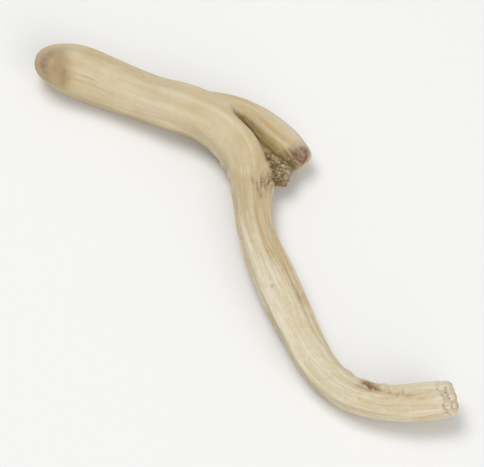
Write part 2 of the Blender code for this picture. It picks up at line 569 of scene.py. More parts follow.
# The marks that the solid carries too
ROOT_MAIN_MARKS = (
    Ribs(2, 0.11, 0.4, 0.021, 61.0),
    Ribs(3, 0.13, 2.1, -0.034, 47.0),
    Ribs(5, 0.10, 4.0, 0.043, 33.0),
    Ribs(8, 0.07, 1.2, -0.052, 21.0),
    Furrow(8.0, 30.0, 118.0, 98.0, 0.60, 0.22),
    Furrow(2.5, 24.0, 178.0, 160.0, 0.70, 0.22),
    Furrow(12.0, 34.0, 222.0, 246.0, 0.60, 0.38),
    Furrow(2.0, 18.0, 18.0, 36.0, 0.65, 0.28),
    Furrow(15.0, 27.5, 50.0, 46.0, 1.30, -0.50),
    Furrow(24.8, 34.2, 54.0, 30.0, 0.85, 0.75),
    Furrow(30.0, 54.0, 60.0, 92.0, 0.55, 0.30),
    Furrow(37.0, 68.0, 126.0, 150.0, 0.60, -0.20),
    Furrow(40.0, 66.0, 180.0, 170.0, 0.55, 0.26),
    Furrow(44.0, 72.0, 20.0, 6.0, 0.50, 0.32),
    Furrow(36.0, 60.0, 302.0, 282.0, 0.55, 0.32),
    Furrow(66.5, 82.0, 70.0, 94.0, 0.60, 0.55),
    Furrow(65.0, 86.0, 34.0, 52.0, 0.60, -0.30),
    Dent(3.3, 118.0, 1.5, 0.26),
    Dent(15.5, 84.0, 2.4, 0.20),
    Dent(22.0, 196.0, 2.2, 0.26),
    Dent(47.0, 108.0, 2.0, 0.18),
    Dent(58.5, 70.0, 2.2, 0.22),
    Dent(33.6, 34.0, 1.0, -0.42),
    Dent(18.5, 262.0, 1.1, -0.30),
    Dent(54.0, 318.0, 1.0, -0.36),
    Folds(31.8, 196.0, 3.4, 2.2, 3.1, 0.34),
    Folds(68.6, 352.0, 4.2, 1.9, 3.3, 0.30),
)

FINGER_MAIN_MARKS = (
    Ribs(3, 0.09, 0.9, 0.060, 19.0),
    Ribs(5, 0.06, 2.6, -0.080, 11.0),
    Furrow(5.0, 19.5, 60.0, 74.0, 0.45, 0.20),
    Dent(17.7, 92.0, 1.2, 0.40),
)

STUB_MAIN_MARKS = (Ribs(3, 0.12, 1.7, 0.900, 5.0),)

# The ragged rim: waves round the end as (count, phase, share of the roughness)
RIM_WAVES = ((2, 0.7, 0.45), (3, 2.9, 0.35), (7, 1.1, 0.20))

# How far the scattered wrinkles drift round a tube in degrees, and between which half widths and
# depths they lie, in mm
WRINKLE_DRIFT = 9.0
WRINKLE_WIDTHS = (0.14, 0.32)
WRINKLE_DEPTHS = (0.03, 0.10)

# How far from a tube's two ends the scattered wrinkles start, and the pits and cracks lie, in mm
WRINKLE_ENDS = (-2.0, 3.0)
PIT_ENDS = (1.0, 1.0)
CRACK_ENDS = (3.0, 2.0)

# The smallest and largest radius and depth of a scattered pit, in mm
PIT_SIZES = ((0.13, 0.04), (0.30, 0.13))

# The smallest and largest reach, lean, width and depth of a scattered crack, in mm
CRACK_SIZES = ((0.35, -0.30, 0.10, 0.04), (1.10, 0.30, 0.16, 0.10))


def scattered_furrows(seed: int, count: int, length: float, reaches: Range) -> list[Mark]:
    """Random fine wrinkles along a tube.

    Args:
        seed: sets the random draw.
        count: how many wrinkles there are.
        length: the tube's length in mm.
        reaches: the shortest and longest wrinkle in mm.

    Returns:
        The wrinkles.
    """
    rng = np.random.default_rng(seed)
    wrinkles = []
    for _ in range(count):
        start = rng.uniform(WRINKLE_ENDS[0], length - WRINKLE_ENDS[1])
        reach = rng.uniform(*reaches)
        angle = rng.uniform(0.0, 360.0)
        drift = rng.normal(0.0, WRINKLE_DRIFT)
        width = rng.uniform(*WRINKLE_WIDTHS)
        depth = rng.uniform(*WRINKLE_DEPTHS)
        wrinkles.append(Furrow(start, start + reach, angle, angle + drift, width, depth))
    return wrinkles


def scattered(
    kind: type[Mark], seed: int, count: int, length: float, ends: Range, sizes: tuple[Sizes, Sizes]
) -> list[Mark]:
    """Random small marks of one kind all round a tube.

    Args:
        kind: what the marks are.
        seed: sets the random draw.
        count: how many marks there are.
        length: the tube's length in mm.
        ends: how far the marks stay from its two ends, in mm.
        sizes: their smallest and their largest sizes, after their place.

    Returns:
        The marks.
    """
    low = (ends[0], 0.0, *sizes[0])
    high = (length - ends[1], 360.0, *sizes[1])
    return [kind(*draw) for draw in np.random.default_rng(seed).uniform(low, high, (count, len(low)))]


# The worn hollow on the head
HEAD_SCAR = Scar(2.8, 124.0, 1.6, 2.4, 0.12, 0.06)

# The sunken scar on the finger's tip
TIP_SCAR = Scar(17.9, 84.0, 1.25, 1.5, 0.16, 0.12)

# Short rough wrinkles on the neck, and the pale ridges between them
NECK_STROKES = (
    Furrow(34.6, 37.0, 64.0, 52.0, 0.12, 0.15),
    Furrow(35.0, 37.2, 52.0, 42.0, 0.12, 0.16),
    Furrow(35.2, 36.6, 92.0, 84.0, 0.11, 0.10),
    Furrow(35.6, 37.8, 76.0, 62.0, 0.12, 0.13),
    Furrow(36.8, 38.4, 58.0, 54.0, 0.12, 0.13),
    Furrow(34.4, 36.0, 40.0, 32.0, 0.12, 0.15),
)
NECK_RIDGES = (
    Furrow(34.4, 36.8, 70.0, 58.0, 0.14, -0.09),
    Furrow(35.0, 37.4, 58.0, 46.0, 0.14, -0.10),
    Furrow(35.8, 38.0, 68.0, 56.0, 0.14, -0.08),
)

# The groove where the finger leaves the body, and the two lines that only paint shade into the
# crook beside the finger
SEAM_STROKE = Furrow(25.4, 33.0, 57.0, 22.0, 0.26, 0.20)
FINGER_SHADE = Furrow(8.4, 20.0, 112.0, 164.0, 0.75, 0.0)
FINGER_START_SHADE = Furrow(7.6, 13.0, 124.0, 138.0, 0.50, 0.0)

# Long streaks down the tail
TAIL_STROKES = (
    Furrow(41.0, 51.5, 92.0, 82.0, 0.15, 0.08),
    Furrow(42.0, 54.0, 78.0, 64.0, 0.14, 0.12),
    Furrow(43.0, 53.0, 62.0, 54.0, 0.13, 0.10),
    Furrow(44.5, 56.0, 50.0, 38.0, 0.15, 0.14),
)

# The creases beside the scar on the finger's tip
TIP_STROKES = (
    Furrow(15.6, 19.0, 126.0, 140.0, 0.20, 0.20),
    Furrow(16.0, 18.4, 108.0, 116.0, 0.16, 0.16),
)

# The long groove along the hook's inner side, and the short one under its torn flap
LIP_STROKE = Furrow(70.5, 78.0, 60.0, 96.0, 0.24, 0.10)
FLAP_STROKE = Furrow(69.4, 73.0, 52.0, 70.0, 0.16, 0.26)


# The short cracks across the hook's inner side
HOOK_CRACKS = (
    Crack(74.0, 70.0, 0.45, 0.35, 0.10, 0.07),
    Crack(75.2, 84.0, 0.60, -0.30, 0.10, 0.09),
    Crack(75.9, 76.0, 0.50, 0.25, 0.10, 0.08),
    Crack(76.5, 90.0, 0.45, -0.20, 0.10, 0.07),
)

# The torn rings round the broken end: the splits, and the pale lips between them
END_SPLITS = (
    Crack(80.3, 84.0, 1.1, 0.18, 0.13, 0.10),
    Crack(80.5, 126.0, 1.3, -0.14, 0.13, 0.11),
    Crack(81.0, 98.0, 1.3, -0.08, 0.13, 0.12),
    Crack(81.3, 142.0, 1.4, 0.14, 0.13, 0.12),
    Crack(80.7, 170.0, 1.1, 0.20, 0.13, 0.10),
)
END_LIPS = (
    Crack(80.65, 104.0, 1.3, 0.06, 0.15, -0.10),
    Crack(80.95, 130.0, 1.3, -0.10, 0.15, -0.11),
    Crack(81.4, 94.0, 1.3, 0.04, 0.15, -0.10),
    Crack(80.95, 158.0, 1.2, 0.14, 0.15, -0.10),
)

ROOT_FINE_MARKS = (
    # Knife flats
    Facet(1.0, 24.0, 190.0, 200.0, 0.16),
    Facet(5.0, 24.0, 150.0, 142.0, 0.15),
    Facet(6.0, 30.0, 116.0, 98.0, 0.13),
    Facet(5.0, 22.0, 60.0, 66.0, 0.14),
    Facet(18.0, 34.0, 160.0, 176.0, 0.15),
    Facet(36.0, 60.0, 140.0, 122.0, 0.22),
    Facet(40.0, 62.0, 62.0, 44.0, 0.16),
    Facet(52.0, 74.0, 186.0, 196.0, 0.16),
    Facet(56.0, 76.0, 116.0, 128.0, 0.16),
    Facet(36.0, 70.0, 236.0, 250.0, 0.16),
    Facet(10.0, 30.0, 292.0, 280.0, 0.18),
    HEAD_SCAR,
    SEAM_STROKE,
    *NECK_STROKES,
    *NECK_RIDGES,
    Crumbs(61, 34.0, 24.0, 2.0, 1.2, 0.42),
    Crumbs(62, 36.2, 58.0, 1.6, 1.2, 0.09),
    *TAIL_STROKES,
    # Torn skin on the inner side of the hook and beside the tail
    Flake(71.4, 60.0, 1.7, 0.8, 0.20, 0.22),
    Flake(73.2, 48.0, 1.5, 0.7, 0.16, 0.20),
    Flake(53.6, 40.0, 1.7, 0.6, 0.14, 0.18),
    Flake(35.6, 30.0, 1.4, 0.8, 0.20, 0.20),
    Flake(12.0, 238.0, 2.6, 1.2, 0.14, 0.30),
    Flake(61.0, 300.0, 2.2, 1.0, 0.14, 0.25),
    LIP_STROKE,
    FLAP_STROKE,
    Furrow(70.0, 82.0, 75.0, 94.0, 0.60, -0.38),
    Dent(82.2, 96.0, 1.7, 0.50),
    Crumbs(65, 71.9, 64.0, 1.6, 0.7, 0.30),
    Crumbs(66, 75.0, 82.0, 3.0, 0.9, 0.10),
    Crumbs(67, 80.9, 115.0, 0.7, 3.6, 0.12),
    *HOOK_CRACKS,
    *END_SPLITS,
    *END_LIPS,
    # Relief all over, from soft lumps to fine striae
    Grain(11, 6.5, 3.2, 0.12),
    Grain(12, 3.2, 1.3, 0.036),
    Grain(13, 2.2, 0.60, 0.014),
    Grain(14, 1.1, 0.30, 0.008),
    Strands(15, 3.4, 0.55, 0.042),
    Strands(16, 2.0, 0.34, 0.022),
    Creases(21, 6.0, 1.2, 0.050, 0.10),
    Creases(31, 3.2, 0.70, 0.026, 0.14, 6.0, 3.0),
)

FINGER_FINE_MARKS = (
    Facet(4.0, 19.0, 100.0, 88.0, 0.10),
    TIP_SCAR,
    *TIP_STROKES,
    Crumbs(69, 17.9, 86.0, 1.2, 1.4, 0.22),
    Crumbs(70, 16.6, 205.0, 2.6, 1.0, 0.30),
    Grain(41, 3.5, 1.2, 0.05),
    Grain(42, 2.4, 0.45, 0.020),
    Creases(51, 3.6, 0.8, 0.060, 0.12, 6.0, 3.0),
)

STUB_FINE_MARKS = (
    Grain(75, 1.1, 1.8, 0.14),
    Crumbs(71, 2.3, 60.0, 1.7, 2.4, 0.42),
    Crumbs(73, 2.5, 130.0, 1.7, 2.4, 0.42),
    Crumbs(77, 2.5, 250.0, 1.7, 3.0, 0.30),
)

# How far the scattered marks reach along the root and the finger, in mm
ROOT_LENGTH = 82.0
FINGER_LENGTH = 19.5

# The tubes as the solid has them
COARSE_ROOT = Tube(
    sections=ROOT_SECTIONS,
    first_cap=7.4,
    first_power=2.25,
    last_cap=1.7,
    last_power=2.7,
    sides=40,
    rings=(11, 74, 9),
    marks=ROOT_MAIN_MARKS,
    end_dish=0.45,
    end_rough=0.28,
)

COARSE_FINGER = Tube(
    sections=FINGER_SECTIONS,
    first_cap=1.5,
    first_power=2.0,
    last_cap=1.5,
    last_power=2.5,
    sides=22,
    rings=(3, 20, 6),
    marks=FINGER_MAIN_MARKS,
    end_dish=0.16,
    end_rough=0.20,
)

COARSE_STUB = Tube(
    sections=STUB_SECTIONS,
    first_cap=1.0,
    first_power=2.0,
    last_cap=0.6,
    last_power=3.0,
    sides=16,
    rings=(3, 8, 5),
    marks=STUB_MAIN_MARKS,
    end_dish=0.30,
    end_rough=0.35,
)

# The same tubes with the fine mesh and the fine marks
FINE_ROOT = replace(
    COARSE_ROOT,
    sides=200,
    rings=(40, 308, 32),
    marks=(
        *ROOT_MAIN_MARKS,
        *ROOT_FINE_MARKS,
        *scattered_furrows(101, 60, ROOT_LENGTH, (4.0, 15.0)),
        *scattered(Dent, 102, 80, ROOT_LENGTH, PIT_ENDS, PIT_SIZES),
        *scattered(Crack, 103, 34, ROOT_LENGTH, CRACK_ENDS, CRACK_SIZES),
    ),
    end_marks=0.16,
)

FINE_FINGER = replace(
    COARSE_FINGER,
    sides=92,
    rings=(10, 80, 22),
    marks=(
        *FINGER_MAIN_MARKS,
        *FINGER_FINE_MARKS,
        *scattered_furrows(111, 20, FINGER_LENGTH, (3.0, 9.0)),
        *scattered(Dent, 112, 12, FINGER_LENGTH, PIT_ENDS, PIT_SIZES),
    ),
    end_marks=0.14,
)

FINE_STUB = replace(
    COARSE_STUB,
    sides=100,
    rings=(6, 56, 20),
    marks=(*STUB_MAIN_MARKS, *STUB_FINE_MARKS),
    end_marks=0.24,
)


def spline_through(knots: Array, rows: Array, at: Array) -> Array:
    """Evaluates the natural cubic spline through one row of numbers for each knot.

    Args:
        knots: the rising positions of the rows.
        rows: one row of numbers for each knot.
        at: where the spline is wanted.

    Returns:
        One row of numbers for each wanted position.
    """
    gaps = np.diff(knots)
    slopes = np.diff(rows, axis=0) / gaps[:, None]
    system = np.eye(len(knots))
    target = np.zeros_like(rows)
    for i in range(1, len(knots) - 1):
        system[i, i - 1] = gaps[i - 1]
        system[i, i] = 2.0 * (gaps[i - 1] + gaps[i])
        system[i, i + 1] = gaps[i]
        target[i] = 6.0 * (slopes[i] - slopes[i - 1])
    bends = np.linalg.solve(system, target)
    span = np.clip(np.searchsorted(knots, at) - 1, 0, len(gaps) - 1)
    right = ((at - knots[span]) / gaps[span])[:, None]
    left = 1.0 - right
    bow = (left**3 - left) * bends[span] + (right**3 - right) * bends[span + 1]
    return left * rows[span] + right * rows[span + 1] + bow * gaps[span][:, None] ** 2 / 6.0


class Route:
    """The smooth curve through the middles of a tube's sections, measured along its length."""

    def __init__(self, sections: tuple[Section, ...]) -> None:
        """Fits the curve.

        Args:
            sections: the sections that it runs through.
        """
        rows = np.array([astuple(section) for section in sections])
        chords = np.linalg.norm(np.diff(rows[:, :3], axis=0), axis=1)
        knots = np.concatenate(([0.0], np.cumsum(chords)))
        self.rows = spline_through(knots, rows, np.linspace(0.0, knots[-1], ROUTE_SAMPLES))
        steps = np.linalg.norm(np.diff(self.rows[:, :3], axis=0), axis=1)
        self.distances = np.concatenate(([0.0], np.cumsum(steps)))
        self.length = self.distances[-1]
        headings = np.gradient(self.rows[:, :3], self.distances, axis=0)
        self.headings = headings / np.linalg.norm(headings, axis=1)[:, None]

    def _interpolate(self, columns: Array, along: Array) -> Array:
        """Columns of numbers at the given distances along the curve."""
        return np.stack([np.interp(along, self.distances, column) for column in columns.T], axis=1)

    def frame_at(self, along: Array) -> tuple[Array, ...]:
        """How the tube lies at some distances along it.

        Args:
            along: the distances in mm.

        Returns:
            Middles, headings, side and up directions, widths and heights.
        """
        rows = self._interpolate(self.rows, along)
        heading = self._interpolate(self.headings, along)
        side = np.cross((0.0, 0.0, 1.0), heading)
        side /= np.linalg.norm(side, axis=1)[:, None]
        up = np.cross(heading, side)
        return rows[:, :3], heading, side, up, rows[:, 3], rows[:, 4]


@dataclass
class TubeForm:
    """Works out where the points of a tube lie."""

    tube: Tube
    route: Route = field(init=False)

    # How much the torn flesh's coarse waves, fine waves and core stand out over the last cap
    torn_shares: ClassVar[tuple[float, ...]] = (0.55, 0.35, 0.5)

    # The core's ring, as a share of the cap's radius, with its spread, and the hollow inside it
    ring_place: ClassVar[float] = 0.36
    ring_spread: ClassVar[float] = 0.006
    hollow_share: ClassVar[float] = 1.5
    hollow_spread: ClassVar[float] = 0.02

    def __post_init__(self) -> None:
        """Fits the tube's route."""
        self.route = Route(self.tube.sections)

    def outline(self, share: Array) -> tuple[Array, Array, Array]:
        """The tube's outline at each share of its rings.

        Args:
            share: 0 at the first tip and 1 in the middle of the last cap.

        Returns:
            Distance along in mm, share of the full section, and turn over the last cap.
        """
        tube = self.tube
        first, shaft, last = tube.rings
        ring = share * (first + shaft + last)
        first_turn = np.clip(ring / first, 0.0, 1.0) * math.pi / 2
        last_turn = np.clip((ring - first - shaft) / last, 0.0, 1.0) * math.pi / 2
        middle = np.clip((ring - first) / shaft, 0.0, 1.0)
        first_run = tube.first_cap * (1.0 - np.cos(first_turn) ** (2.0 / tube.first_power))
        last_run = tube.last_cap * np.sin(last_turn) ** (2.0 / tube.last_power)
        shaft_run = middle * (self.route.length - tube.first_cap - tube.last_cap)
        first_size = np.sin(first_turn) ** (2.0 / tube.first_power)
        last_size = np.cos(last_turn) ** (2.0 / tube.last_power)
        return first_run + shaft_run + last_run, first_size * last_size, last_turn

    def stances(self, along: Array, turn: Array) -> tuple[Array, Array, Array]:
        """Where something can stand on the tube.

        Args:
            along: distances along the tube, in mm.
            turn: the angles round the section, in radians.

        Returns:
            The points in mm, the outward directions and the headings there.
        """
        shares = np.linspace(0.0, 1.0, ROUTE_SAMPLES)
        share = np.minimum(np.interp(along, self.outline(shares)[0], shares), 1.0 - STANCE_STEP)
        point = self.points(share, turn)[0]
        ahead = self.points(share + STANCE_STEP, turn)[0] - point
        round_it = self.points(share, turn + STANCE_STEP)[0] - point
        outward = np.cross(round_it, ahead)
        outward /= np.linalg.norm(outward, axis=1)[:, None]
        return point, outward, self.route.frame_at(along)[1]

    def points(self, share: Array, turn: Array) -> tuple[Array, Place, Array]:
        """Where points of the tube lie.

        Args:
            share: the share of the rings, from 0 to 1.
            turn: the angle round the section, in radians.

        Returns:
            The points in mm, their places on the tube, and how far the marks moved them in mm.
        """
        tube = self.tube
        along, size, last_turn = self.outline(share)
        middle, heading, side, up, width, height = self.route.frame_at(along)
        place = Place(along, np.degrees(turn), (width + height) / 4.0)
        relief = sum(mark.offset(place) for mark in tube.marks)
        reach = size * (1.0 + relief / place.radius)
        rim = sum(part * np.cos(count * turn + phase) for count, phase, part in RIM_WAVES)
        sunk = tube.end_dish * (1.0 - size**2) + tube.end_rough * size * rim
        sunk = np.sin(last_turn) * (sunk + tube.end_marks * self._torn_flesh(size, turn))
        spread = (reach * width / 2.0 * np.cos(turn))[:, None] * side
        lift = (reach * height / 2.0 * np.sin(turn))[:, None] * up
        return middle + spread + lift - heading * sunk[:, None], place, relief

    def _torn_flesh(self, size: Array, turn: Array) -> Array:
        """The roughness of torn flesh over the last cap, from waves that cross without order.

        Args:
            size: how far out each point lies, as a share of the cap's radius.
            turn: the angle round the cap, in radians.

        Returns:
            A value between about -1 and 1 for each point.
        """
        x, y = size * np.cos(turn), size * np.sin(turn)
        coarse = np.sin(9.0 * x + 4.0 * np.sin(5.0 * y)) * np.cos(8.0 * y - 3.0 * x)
        fine = np.sin(31.0 * x + 17.0 * y) * np.sin(29.0 * y - 13.0 * x + 1.0)
        ring = np.exp(-((size - self.ring_place) ** 2) / self.ring_spread)
        core = ring - self.hollow_share * np.exp(-(size**2) / self.hollow_spread)
        shares = self.torn_shares
        return shares[0] * coarse + shares[1] * fine + shares[2] * core


class StainAndPaintedLight(Enum):
    """The colours laid in places on the flesh: stains of its own, painted shade and painted highlights. Each
    value is a mesh attribute's name.
    """

    # Painted shade in sunken places, along the seam and over the stub, with the ochre of the furrows
    HOLLOW = "hollow"
    # Pale chalky flesh, and painted highlights: on ridges, the tail's left facet, the finger's outer edge,
    # and under the bend and the hook
    CHALK = "chalk"
    # Tan flesh, and painted shade: on the body's lower side, the neck, the tail's top and right side, and
    # beside the finger
    TAN = "tan"
    HEAD = "head"
    WORN = "worn"
    GREY = "grey"
    TIP = "tip"
    BROWN = "brown"
    # Painted shade in creases, along the seam and in the crook, and dark spots on the tip's scar and the
    # stub
    CREVICE = "crevice"
    ROT = "rot"
    RUST = "rust"


@dataclass(frozen=True)
class Patch:
    """A soft patch of one laid colour on a tube, in mm and degrees. A large spread goes all round."""

    stain_and_light: StainAndPaintedLight
    along: float
    angle: float
    along_spread: float
    across_spread: float
    strength: float

    def amount(self, place: Place) -> Array:
        """The patch's strength at each point.

        Args:
            place: where the points lie on the tube.

        Returns:
            One strength for each point.
        """
        ahead = (place.along - self.along) / self.along_spread
        across = place.across(self.angle) / self.across_spread
        return self.strength * np.exp(-(ahead**2) - across**2)


@dataclass(frozen=True)
class Arc:
    """A soft arc of one laid colour on a scar's rim, strongest at a bearing in degrees."""

    stain_and_light: StainAndPaintedLight
    scar: Scar
    bearing: float
    half_width: float
    strength: float

    def amount(self, place: Place) -> Array:
        """The arc's strength at each point.

        Args:
            place: where the points lie on the tube.

        Returns:
            One strength for each point.
        """
        out, bearing = self.scar.polar(place)
        turned = 0.5 + 0.5 * np.cos(bearing - math.radians(self.bearing))
        return self.strength * turned**2 * bell(out - 1.0, self.half_width)


@dataclass(frozen=True)
class Stroke:
    """A line of one laid colour along a furrow or crack, as wide as widen times the mark."""

    stain_and_light: StainAndPaintedLight
    mark: Furrow | Crack
    widen: float
    strength: float

    def amount(self, place: Place) -> Array:
        """The line's strength at each point."""
        return self.strength * self.mark.line(place, self.widen)


Colouring = Patch | Arc | Stroke

ALL_ROUND = 1000.0


def patches(stain_and_light: StainAndPaintedLight, *rows: Sizes) -> list[Patch]:
    """Patches of one laid colour, each from its place, its two spreads and its strength."""
    return [Patch(stain_and_light, *row) for row in rows]


def strokes(stain_and_light: StainAndPaintedLight, marks: tuple[Furrow | Crack, ...], widen: float, strength: float) -> list[Stroke]:
    """Lines of one laid colour, one along each mark."""
    return [Stroke(stain_and_light, mark, widen, strength) for mark in marks]


ROOT_PATCHES: tuple[Colouring, ...] = (
    # The head, with the worn hollow on it and the stains round that
    *patches(StainAndPaintedLight.HEAD, (-0.6, 0.0, 2.4, ALL_ROUND, 1.0), (3.0, 150.0, 1.8, 2.4, 0.60)),
    *patches(StainAndPaintedLight.WORN, (3.0, 124.0, 1.4, 2.2, 0.85), (4.4, 152.0, 0.9, 1.5, 0.75)),
    *patches(StainAndPaintedLight.GREY, (3.0, 92.0, 1.0, 1.2, 0.35)),
    Arc(StainAndPaintedLight.GREY, HEAD_SCAR, 180.0, 0.36, 1.0),
    Arc(StainAndPaintedLight.TAN, HEAD_SCAR, 20.0, 0.24, 0.80),
    # The lines along the large furrows and cracks
    # The dark line along the seam's groove is painted shade
    *strokes(StainAndPaintedLight.CREVICE, (SEAM_STROKE,), 1.1, 0.6),
    *strokes(StainAndPaintedLight.BROWN, NECK_STROKES, 2.0, 0.60),
    *strokes(StainAndPaintedLight.CHALK, NECK_RIDGES, 1.3, 0.55),
    *strokes(StainAndPaintedLight.TAN, TAIL_STROKES, 2.2, 0.60),
    *strokes(StainAndPaintedLight.TAN, (LIP_STROKE,), 2.4, 0.25),
    *strokes(StainAndPaintedLight.RUST, (FLAP_STROKE,), 1.8, 1.1),
    *strokes(StainAndPaintedLight.RUST, HOOK_CRACKS, 1.4, 0.32),
    *strokes(StainAndPaintedLight.RUST, END_SPLITS, 1.1, 0.42),
    *strokes(StainAndPaintedLight.CHALK, END_LIPS, 1.5, 0.9),
    # The soft tones of the body, neck, tail and broken end
    *patches(
        StainAndPaintedLight.TAN,
        (6.5, 140.0, 2.4, 2.0, 0.35),
        # Painted shade along the body's lower side
        (12.0, 205.0, 12.0, 1.3, 0.85),
        (22.0, 215.0, 6.0, 2.0, 0.35),
        # Tan on the neck, partly painted shade
        (34.5, 70.0, 4.5, 3.4, 0.60),
        # Painted shadow of a root that lay across the neck
        (36.6, 50.0, 2.0, 1.5, 0.50),
        # Painted shadow of that root on the top of the tail
        (40.0, 96.0, 3.5, 3.4, 0.50),
        # Painted shade down the tail's right side
        (46.0, 48.0, 7.0, 1.2, 0.60),
        (57.0, 210.0, 8.0, 2.0, 0.25),
        (71.8, 66.0, 2.0, 0.9, 0.90),
        (79.6, 180.0, 2.2, 2.2, 0.35),
    ),
    *patches(
        StainAndPaintedLight.CHALK,
        (13.0, 150.0, 7.0, 2.4, 0.22),
        # Painted light on the lower side at the bend
        (28.6, 202.0, 3.0, 1.6, 0.50),
        # Painted highlight down the tail's left facet
        (49.0, 140.0, 8.0, 1.6, 0.85),
        (62.0, 100.0, 9.0, 2.6, 0.60),
        # Painted light on the hook's underside
        (71.0, 215.0, 9.0, 2.0, 0.70),
        (76.0, 48.0, 6.0, 0.7, 0.85),
        (80.6, 100.0, 1.1, 3.4, 0.90),
    ),
    *patches(
        StainAndPaintedLight.BROWN,
        (13.0, 250.0, 3.0, 1.4, 0.35),
        (34.0, 20.0, 1.8, 1.2, 0.5),
        (35.8, 50.0, 1.8, 1.4, 0.25),
        (53.6, 40.0, 1.4, 0.7, 0.40),
        (71.2, 62.0, 1.5, 0.7, 0.60),
        (80.9, 95.0, 0.8, 2.4, 0.12),
    ),
    *patches(StainAndPaintedLight.RUST, (71.0, 58.0, 0.8, 0.4, 0.5)),
    # Painted shade in the crook where the finger and the stub leave the neck
    *patches(StainAndPaintedLight.CREVICE, (27.0, 51.0, 1.2, 0.50, 1.0)),
    *patches(StainAndPaintedLight.HOLLOW, (29.2, 40.0, 2.6, 0.9, 0.9)),
    *patches(StainAndPaintedLight.TIP, (82.9, 0.0, 0.8, ALL_ROUND, 0.55)),
)

FINGER_PATCHES: tuple[Colouring, ...] = (
    # The first tan patch is painted shade on the finger's side in the crook
    *patches(StainAndPaintedLight.TAN, (12.0, 125.0, 6.0, 1.8, 0.60), (11.0, 74.0, 4.0, 1.2, 0.35)),
    *patches(StainAndPaintedLight.TIP, (17.9, 84.0, 1.3, 1.6, 1.4), (19.4, 0.0, 0.6, ALL_ROUND, 0.7)),
    *patches(StainAndPaintedLight.CREVICE, (18.6, 62.0, 0.5, 0.5, 0.9)),
    # Painted highlight along the finger's outer edge
    *patches(StainAndPaintedLight.CHALK, (13.5, 44.0, 5.0, 1.0, 0.65)),
    # Painted shade in the crook under the body's edge
    *patches(StainAndPaintedLight.HOLLOW, (12.5, 150.0, 5.0, 2.0, 0.85)),
    *patches(StainAndPaintedLight.BROWN, (16.8, 205.0, 2.0, 1.0, 0.9)),
    # Painted shade in the creases by the tip's scar, and dark and tan painted shade in the crook beside the
    # finger
    *strokes(StainAndPaintedLight.CREVICE, TIP_STROKES, 1.5, 0.80),
    *strokes(StainAndPaintedLight.CREVICE, (FINGER_SHADE,), 1.0, 0.52),
    *strokes(StainAndPaintedLight.CREVICE, (FINGER_START_SHADE,), 1.0, 0.62),
    *strokes(StainAndPaintedLight.TAN, (FINGER_SHADE,), 2.2, 1.0),
)

STUB_PATCHES: tuple[Colouring, ...] = (
    *patches(StainAndPaintedLight.TAN, (3.0, 0.0, 4.0, ALL_ROUND, 0.80)),
    # Painted shade over the whole stub, which sits in the crook
    *patches(StainAndPaintedLight.HOLLOW, (3.0, 0.0, 4.0, ALL_ROUND, 0.50)),
    *patches(StainAndPaintedLight.ROT, (2.8, 110.0, 2.2, 3.0, 1.6), (5.0, 0.0, 1.2, ALL_ROUND, 1.1)),
    *patches(StainAndPaintedLight.CREVICE, (2.9, 92.0, 0.35, 0.45, 1.0), (3.9, 150.0, 0.45, 0.45, 1.0)),
    *patches(StainAndPaintedLight.CREVICE, (4.2, 118.0, 0.30, 0.35, 0.9)),
    *patches(StainAndPaintedLight.CHALK, (4.5, 76.0, 0.40, 0.60, 1.0), (3.4, 118.0, 0.30, 0.35, 1.0)),
)


def select_only(*chosen: bpy.types.Object) -> None:
    """Selects the chosen objects and no others, and makes the first of them active.

    Args:
        *chosen: the objects, or none.
    """
    bpy.ops.object.select_all(action="DESELECT")
    for item in chosen:
        item.select_set(True)
    bpy.context.view_layer.objects.active = chosen[0] if chosen else None


def write_layer(mesh: bpy.types.Mesh, name: str, values: Array) -> None:
    """Writes a number for each point, or three of them, to an attribute of its own.

    Args:
        mesh: the mesh that gets the attribute.
        name: the attribute's name.
        values: one number, or one row of three, for each point.
    """
    kind, part = ("FLOAT", "value") if values.ndim == 1 else ("FLOAT_VECTOR", "vector")
    layer = mesh.attributes.new(name, kind, "POINT")
    layer.data.foreach_set(part, values.ravel())


def rolled_sheet(name: str, sides: int, rings: int) -> tuple[bpy.types.Object, Array, Array]:
    """Adds a sheet of faces that is to be rolled into a tube.

    Args:
        name: what the object is called.
        sides: how many faces go round.
        rings: how many faces go along.

    Returns:
        The object, and each point's share along and its turn round in radians.
    """
    select_only()
    bpy.ops.mesh.primitive_grid_add(x_subdivisions=sides, y_subdivisions=rings, size=1.0)
    sheet = bpy.context.object
    sheet.name = name
    ring, side = np.divmod(np.arange(len(sheet.data.vertices)), sides + 1)
    return sheet, ring / rings, side / sides * math.tau


def close_sheet() -> None:
    """Merges the side edges and the poles of the active sheet and turns its faces outwards."""
    bpy.ops.object.mode_set(mode="EDIT")
    bpy.ops.mesh.select_all(action="SELECT")
    bpy.ops.mesh.remove_doubles(threshold=MERGE_GAP)
    bpy.ops.mesh.normals_make_consistent(inside=False)
    bpy.ops.object.mode_set(mode="OBJECT")


